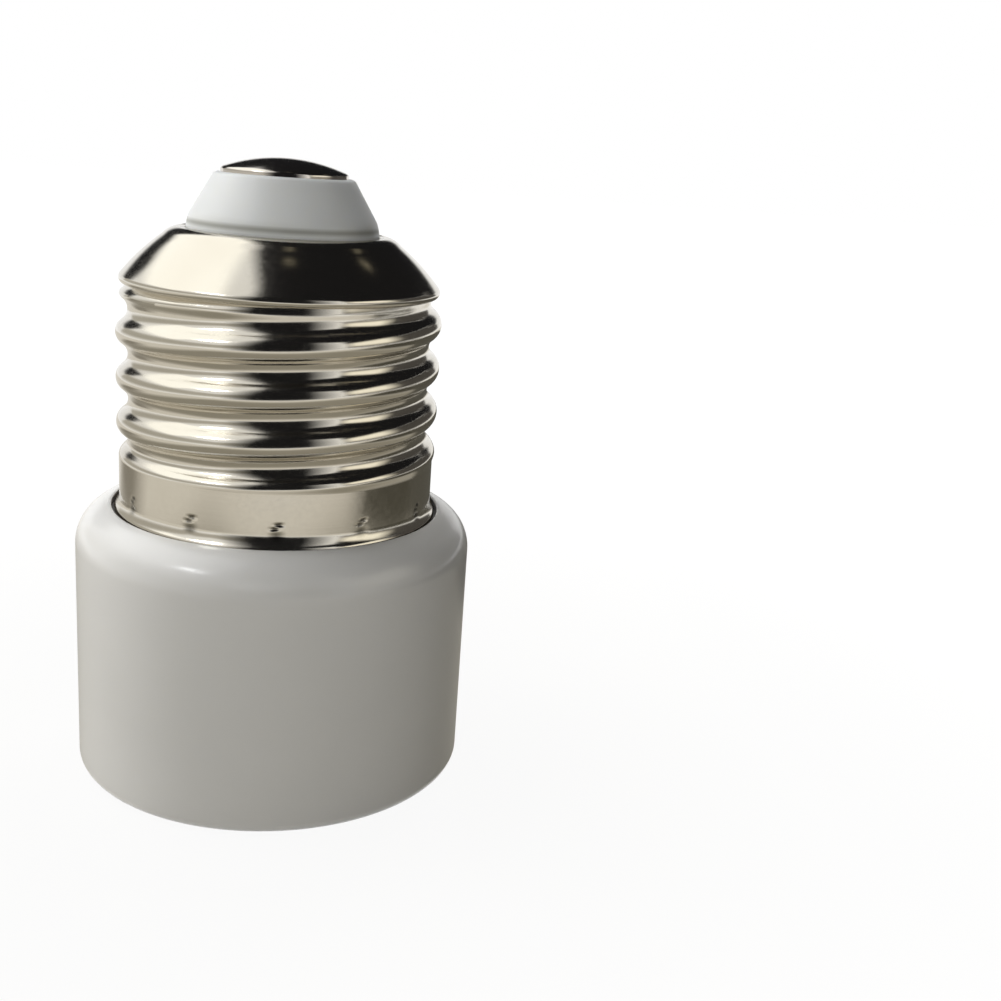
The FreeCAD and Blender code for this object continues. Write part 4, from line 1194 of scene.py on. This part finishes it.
@dataclass
class SocketFace:
    """The face plate with its keyholes, oval dish, notches and red lens."""

    plate_r: float = 15.12
    front_z: float = 0.35
    back_z: float = 2.5
    edge: float = 0.14
    slot_x: float = 6.35
    slot_w: float = 1.9
    slot_l: float = 7.9
    pin_x: float = 9.5
    pin_w: float = 4.7
    notch_w: float = 2.4
    notch_depth: float = 0.6
    lamp_y: float = 10.2
    dish_l: float = 5.8
    dish_w: float = 3.8
    dish_depth: float = 0.45
    lens_hole_r: float = 1.55
    lens_r: float = 1.5
    lens_flange_r: float = 2.15
    lens_front_z: float = 0.525
    lens_dome: float = 0.55
    lens_back_z: float = 3.1
    lens_around: int = 64
    dish_around: int = 96
    dish_rings: int = 10
    dish_lip: float = 0.03
    dish_tuck: float = 0.04
    back_overlap: float = 0.1
    back_sharp: float = 25.0

    def rim(self) -> list[Point]:
        """The plate's outer edge with its two notches.

        Returns:
            The outline, in mm.
        """
        half = math.degrees(math.asin(self.notch_w / 2.0 / self.plate_r))
        depth = self.plate_r - self.notch_depth
        points: list[Point] = []
        for side in (1, -1):
            middle = 90.0 - 90.0 * side
            points += arc((0.0, 0.0), self.plate_r, middle - 90.0 + half, middle + 90.0 - half, steps=90)
            across = self.notch_w / 2.0 * side
            points += [(across, depth * side), (-across, depth * side)]
        return points

    def keyhole(self, side: int) -> list[Point]:
        """One opening's outline.

        Args:
            side: 1 for the right opening, -1 for the left one.

        Returns:
            The outline, in mm.
        """
        inner, outer = self.slot_x - self.slot_w / 2.0, self.slot_x + self.slot_w / 2.0
        half, pin = self.slot_l / 2.0, self.pin_w / 2.0
        points = [(inner, -half), (outer, -half), (outer, -pin)]
        points += arc((self.pin_x, 0.0), pin, -90.0, 90.0, steps=24)
        points += [(outer, pin), (outer, half), (inner, half)]
        return [(x * side, y * side) for x, y in points]

    def oval(self, part: float) -> list[Point]:
        """A closed line round the lamp.

        Args:
            part: How far in it lies, from the dish's edge at 0 to the lens hole at 1.

        Returns:
            The line, in mm.
        """
        long = self.dish_l / 2.0 + (self.lens_hole_r - self.dish_l / 2.0) * part
        short = self.dish_w / 2.0 + (self.lens_hole_r - self.dish_w / 2.0) * part
        angles = [2.0 * math.pi * index / self.dish_around for index in range(self.dish_around)]
        return [(long * math.cos(angle), self.lamp_y + short * math.sin(angle)) for angle in angles]

    def plate_mesh(self) -> Mesh:
        """The flat plate with rounded edges and all its openings.

        Returns:
            Its mesh, in metres.
        """
        curve = bpy.data.curves.new("plate outline", "CURVE")
        curve.dimensions = "2D"
        curve.fill_mode = "BOTH"
        for outline in (self.rim(), self.keyhole(1), self.keyhole(-1), self.oval(0.0)):
            spline = curve.splines.new("POLY")
            spline.points.add(len(outline) - 1)
            for point, (x, y) in zip(spline.points, outline):
                point.co = (x * MM, y * MM, 0.0, 1.0)
            spline.use_cyclic_u = True
        thickness = (self.back_z - self.front_z) * MM
        curve.bevel_depth = self.edge * MM
        curve.bevel_resolution = 3
        curve.offset = -self.edge * MM
        curve.extrude = thickness / 2.0 - self.edge * MM
        holder = new_object("plate outline", curve)
        mesh = evaluated_mesh(holder)
        bpy.data.objects.remove(holder)
        mesh.transform(Matrix.Translation((0.0, 0.0, self.front_z * MM + thickness / 2.0)))
        return mesh

    def dish_mesh(self) -> Mesh:
        """The oval dish round the lens, down to the lens hole's wall.

        Returns:
            Its mesh, in metres.
        """
        levels = [(-self.dish_tuck, self.front_z + self.edge)]
        for step in range(self.dish_rings + 1):
            part = step / self.dish_rings
            levels.append((part, self.dish_height(part)))
        levels.append((1.0, self.back_z))
        bm = bmesh.new()
        rings = []
        for part, height in levels:
            rings.append([bm.verts.new((x * MM, y * MM, height * MM)) for x, y in self.oval(part)])
        bridge(bm, rings)
        bmesh.ops.reverse_faces(bm, faces=bm.faces)
        return to_mesh(bm)

    def dish_height(self, part: float) -> float:
        """Height of the dish's surface between its edge at 0 and the lens hole at 1."""
        reach = 1.0 - part * (1.0 - 2.0 * self.lens_hole_r / self.dish_l)
        return self.front_z + self.dish_lip + self.dish_depth * math.sqrt(max(0.0, 1.0 - reach * reach))

    def back_mesh(self) -> Mesh:
        """The clip pockets, lamp collar and latches behind the plate, from the CAD part.

        Returns:
            Their mesh, in metres.
        """
        bm = bmesh.new()
        bm.from_mesh(bpy.data.objects["face_plate"].data)
        bmesh.ops.remove_doubles(bm, verts=bm.verts, dist=WELD)
        cut = (self.back_z - self.back_overlap) * MM
        geometry = list(bm.verts) + list(bm.edges) + list(bm.faces)
        found = bmesh.ops.bisect_plane(bm, geom=geometry, plane_co=(0, 0, cut), plane_no=(0, 0, 1),
                                       clear_inner=True, dist=ON_PLANE)
        edges = [item for item in found["geom_cut"] if isinstance(item, bmesh.types.BMEdge)]
        bmesh.ops.triangle_fill(bm, edges=edges, use_beauty=True)
        return to_mesh(bm)

    def lens_outline(self) -> list[Point]:
        """The section of the red lens.

        Returns:
            Its points, from the tip to the back.
        """
        ball = (self.lens_r ** 2 + self.lens_dome ** 2) / (2.0 * self.lens_dome)
        spread = math.degrees(math.asin(self.lens_r / ball))
        crown = arc((0.0, self.lens_front_z + ball), ball, -90.0, -90.0 + spread, steps=10)
        return joined([(0.0, self.lens_front_z)], crown[1:],
                      [(self.lens_r, self.back_z), (self.lens_flange_r, self.back_z),
                       (self.lens_flange_r, self.lens_back_z), (0.0, self.lens_back_z)])

    def build(self) -> None:
        """Make the plate and the lens and dress them."""
        material = WHITE_PLASTIC.make()
        settle(finish_mesh("plate_front", self.plate_mesh()), material, "white_plastic", "face_plate")
        settle(finish_mesh("lamp_dish", self.dish_mesh()), material, "white_plastic")
        settle(finish_mesh("plate_back", self.back_mesh(), self.back_sharp), material, "white_plastic")
        lens = turned(self.lens_outline(), self.lens_around, middle=(0.0, self.lamp_y))
        settle(finish_mesh("red_lens", lens), RED_LENS.make(), "red_lens", "indicator_lens")


@dataclass
class InnerParts:
    """The clips, wires, lamp and joints, which keep their CAD shapes and get finishes."""

    finishes: dict[str, Finish] = field(default_factory=lambda: {
        "contact_clip_right": BRASS, "contact_clip_left": BRASS, "centre_tag": BRASS,
        "neon_lamp": CLEAR_GLASS, "neon_electrodes": TINNED, "neon_leads": TINNED,
        "resistor": RESISTOR_LACQUER, "resistor_leads": TINNED, "lead_sleeve": CLEAR_SLEEVE,
        "line_wire_core": COPPER, "line_wire_sheath": BROWN_SHEATH, "shell_wire_core": COPPER,
        "shell_wire_sheath": BLUE_SHEATH, "solder_clip_right": SOLDER, "solder_clip_left": SOLDER,
        "solder_tag": SOLDER, "solder_shell": SOLDER,
    })

    def build(self, nodes: dict[str, Object]) -> None:
        """Dress the nodes.

        Args:
            nodes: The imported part's nodes by name.
        """
        made: dict[str, Material] = {}
        for name, finish in self.finishes.items():
            if finish.name not in made:
                made[finish.name] = finish.make()
            mesh = nodes[name].data
            mesh.materials.clear()
            mesh.materials.append(made[finish.name])
            LOG.info("%s: %s", name, finish.name)


# Lamps, cards, floor and camera


@dataclass(frozen=True)
class Lamp:
    """One rectangular lamp that gloss doesn't show. Places and sizes are in mm, its power in watts."""

    name: str
    place: Place
    size: tuple[float, float]
    power: float
    color: Color
    aim: Place = (0.0, 0.0, 25.0)

    def build(self) -> None:
        """Hang the lamp."""
        light = bpy.data.lights.new(self.name, "AREA")
        light.shape = "RECTANGLE"
        light.size, light.size_y = self.size[0] * MM, self.size[1] * MM
        light.energy = self.power
        light.color = self.color
        lamp = new_object(self.name, light)
        lamp.visible_glossy = False
        place, aim = Vector(self.place), Vector(self.aim)
        turn = (aim - place).to_track_quat("-Z", "Y").to_matrix().to_4x4()
        lamp.matrix_world = Matrix.Translation(place * MM) @ turn


@dataclass(frozen=True)
class Card:
    """A flat card that only gloss shows, or that only stands in the way of bounced light.

    It is given by a corner and two sides in mm. Its edges fade over a share of each side.
    """

    name: str
    corner: Place
    along: Place
    up: Place
    shade: Color = (0.012, 0.012, 0.013)
    soft: tuple[float, float] = (0.08, 0.08)
    in_gloss: bool = True

    def fade(self, shader: Shader) -> NodeSocket:
        """How much of the card is there: 1 in its middle, 0 at its edges.

        Args:
            shader: The card's material.

        Returns:
            The share.
        """
        corner = tuple(value * MM for value in self.corner)
        place = shader.vector("SUBTRACT", shader.place, corner).outputs["Vector"]
        shares = []
        for side, soft in zip((self.along, self.up), self.soft):
            axis = Vector(side) * MM
            axis /= axis.length_squared
            part = shader.vector("DOT_PRODUCT", place, tuple(axis)).outputs["Value"]
            shares.append(shader.between(shader.off(part, 0.5), 1.0, 0.0, 0.5 - soft, 0.5))
        return shader.maths("MULTIPLY", *shares)

    def build(self) -> None:
        """Stand the card up."""
        corner, along, up = Vector(self.corner) * MM, Vector(self.along) * MM, Vector(self.up) * MM
        mesh = flat_mesh(self.name, [corner, corner + along, corner + along + up, corner + up])
        card = new_object(self.name, mesh)
        shader = Shader(self.name)
        glow = shader.add("Emission", {"Color": (*self.shade, 1.0), "Strength": 1.0}).outputs[0]
        clear = shader.add("BsdfTransparent").outputs[0]
        shader.end_in_mix(self.fade(shader), clear, glow)
        mesh.materials.append(shader.material)
        card.visible_camera = False
        card.visible_glossy = self.in_gloss
        card.visible_diffuse = not self.in_gloss
        card.visible_shadow = False
        card.visible_transmission = False


def seen_directly(tree: NodeTree) -> NodeSocket:
    """1 for rays that see the background: from the camera, off gloss or through glass.

    Args:
        tree: The material's or world's nodes.

    Returns:
        The value.
    """
    path = tree.nodes.new("ShaderNodeLightPath")
    seen = path.outputs["Is Camera Ray"]
    for name in ("Is Glossy Ray", "Is Transmission Ray"):
        either = tree.nodes.new("ShaderNodeMath")
        either.operation = "MAXIMUM"
        tree.links.new(seen, either.inputs[0])
        tree.links.new(path.outputs[name], either.inputs[1])
        seen = either.outputs[0]
    return seen


@dataclass
class Studio:
    """Floor, world and lamps, the cards that the metal shows, and a flag beside the part."""

    floor_reach: float = 1500.0
    floor_color: Color = (0.32, 0.305, 0.27)
    near_white: float = 0.88
    white_start: float = 24.0
    white_end: float = 150.0
    paper_white: float = 1.06
    sky_level: float = 0.055
    lamps: tuple[Lamp, ...] = (
        Lamp("key", (-202, 121, 348), (400, 390), 1.37, (0.96, 0.975, 1.0)),
        Lamp("side lamp", (-400, 150, 90), (160, 160), 0.85, (1.0, 0.99, 0.96)),
        Lamp("back lamp", (200, 400, 200), (220, 220), 1.3, (1.0, 0.995, 0.98)),
        Lamp("fill", (-80, -375, 180), (200, 160), 0.5, (1.0, 1.0, 0.98)),
    )
    cards: tuple[Card, ...] = (
        Card("window", (-510, -49, 233), (275, 464, 0), (262, -157, 224), (1.5, 1.5, 1.46), (0.08, 0.14)),
        Card("window heart", (-432, -132, 378), (101, -184, 0), (53, 29, 67),
             (15.0, 15.2, 15.6), (0.35, 0.35)),
        Card("left card", (-330, -420, 0.8), (0, 860, 0), (0, 0, 200), (0.52, 0.5, 0.45), (0.05, 0.3)),
        Card("front left card", (-330, -330, 0.8), (300, 0, 0), (0, 0, 210),
             (0.52, 0.5, 0.45), (0.05, 0.3)),
        Card("front card", (-95, -112, 0.8), (190, 0, 0), (0, 0, 400), soft=(0.3, 0.03)),
        Card("top card", (-84, -330, 360), (620, 0, 0), (0, 900, 0), soft=(0.06, 0.05)),
        Card("right card", (380, -400, 0.8), (0, 950, 0), (0, 0, 250), (0.08, 0.075, 0.07), (0.05, 0.1)),
        Card("right window", (376, -400, 20), (0, 420, 0), (0, 0, 290), (1.3, 1.24, 1.08), (0.25, 0.3)),
        Card("far right floor card", (225, -400, 0.9), (160, 0, 0), (0, 560, 0),
             (0.1, 0.095, 0.08), (0.3, 0.1)),
        Card("upper right card", (380, -400, 190), (0, 950, 0), (0, 0, 220), soft=(0.05, 0.1)),
        Card("back card", (-480, 480, 120), (960, 0, 0), (0, 0, 300), soft=(0.08, 0.14)),
        Card("floor card", (-230, -125, 0.6), (460, 0, 0), (0, 430, 0), (0.8, 0.77, 0.71), (0.06, 0.06)),
        Card("near floor card", (-84, -84, 0.8), (168, 0, 0), (0, 168, 0), (0.33, 0.31, 0.26), (0.2, 0.2)),
        Card("low right card", (56, -75, 1.0), (170, 0, 0), (0, 250, 0), (0.08, 0.075, 0.06), (0.15, 0.12)),
        Card("low back right card", (24, 22, 1.2), (150, 0, 0), (0, 190, 0),
             (0.1, 0.095, 0.08), (0.06, 0.06)),
        Card("low back left card", (-120, 14, 1.2), (80, 0, 0), (0, 90, 0),
             (0.3, 0.28, 0.24), (0.35, 0.35)),
        Card("first glint", (-4, -14, 300), (32, 0, 0), (0, 28, 0), (0.22, 0.2, 0.15), (0.4, 0.4)),
        Card("second glint", (150, 90, 300), (50, 0, 0), (0, 46, 0), (0.22, 0.2, 0.15), (0.4, 0.4)),
        Card("right flag", (46, -70, 0.9), (0, 260, 0), (0, 0, 150), in_gloss=False),
    )

    def world(self) -> None:
        """White for camera, gloss and glass, and a plain soft level for the rest."""
        world = bpy.data.worlds.new("studio")
        bpy.context.scene.world = world
        world.use_nodes = True
        tree = world.node_tree
        seen = seen_directly(tree)
        level = tree.nodes.new("ShaderNodeMapRange")
        level.inputs["To Min"].default_value = self.sky_level
        level.inputs["To Max"].default_value = 1.0
        tree.links.new(seen, level.inputs["Value"])
        sky = tree.nodes["Background"]
        sky.inputs["Color"].default_value = (1.0, 1.0, 1.0, 1.0)
        tree.links.new(level.outputs["Result"], sky.inputs["Strength"])

    def floor(self) -> None:
        """A wide pale floor that keeps a soft shadow and turns white away from the part."""
        far = self.floor_reach * MM
        mesh = flat_mesh("floor", [(-far, -far, 0.0), (far, -far, 0.0), (far, far, 0.0), (-far, far, 0.0)])
        floor = new_object("floor", mesh)
        shader = Shader("pale floor")
        shader.set(Base_Color=(*self.floor_color, 1.0), Roughness=0.9)
        away = shader.vector("LENGTH", shader.place).outputs["Value"]
        white = shader.between(away, self.near_white, 1.0, self.white_start * MM, self.white_end * MM)
        share = shader.maths("MULTIPLY", seen_directly(shader.tree), white)
        paper = shader.add("Emission", {"Color": (1.0, 1.0, 1.0, 1.0), "Strength": self.paper_white})
        shader.end_in_mix(share, shader.shader.outputs[0], paper.outputs[0])
        mesh.materials.append(shader.material)

    def build(self) -> None:
        """Make the whole studio."""
        self.world()
        self.floor()
        for thing in (*self.lamps, *self.cards):
            thing.build()


@dataclass
class PhotoCamera:
    """The camera that sees the part as the photograph does."""

    focal_px: float = 1245.779
    frame_px: float = 1001.0
    place: Place = (0.2687, -103.6594, 52.1393)
    yaw: float = 0.1812
    pitch: float = 0.2713
    roll: float = 0.0731
    sensor: float = 36.0
    clip_start: float = 5.0

    def build(self) -> None:
        """Make the camera and give it to the scene."""
        ahead = Vector((math.sin(self.yaw) * math.cos(self.pitch),
                        math.cos(self.yaw) * math.cos(self.pitch), -math.sin(self.pitch)))
        level = Vector((math.cos(self.yaw), -math.sin(self.yaw), 0.0))
        upright = level.cross(ahead)
        right = level * math.cos(self.roll) + upright * math.sin(self.roll)
        up = upright * math.cos(self.roll) - level * math.sin(self.roll)
        data = bpy.data.cameras.new("photo camera")
        data.sensor_width = self.sensor
        data.lens = self.focal_px / self.frame_px * self.sensor
        data.clip_start = self.clip_start * MM
        camera = new_object("photo camera", data)
        turn = Matrix((right, up, -ahead)).transposed()
        camera.matrix_world = Matrix.Translation(Vector(self.place) * MM) @ turn.to_4x4()
        bpy.context.scene.camera = camera


def main() -> None:
    """Load the part and build its looks."""
    logging.basicConfig(level=logging.INFO, format="%(name)s: %(message)s")
    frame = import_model()
    bpy.context.scene.view_settings.view_transform = "Standard"
    PhotoCamera().build()
    Studio().build()
    Housing().build()
    ScrewShell().build()
    Nose().build()
    SocketFace().build()
    InnerParts().build(frame["nodes"])


if __name__ == "__main__":
    main()
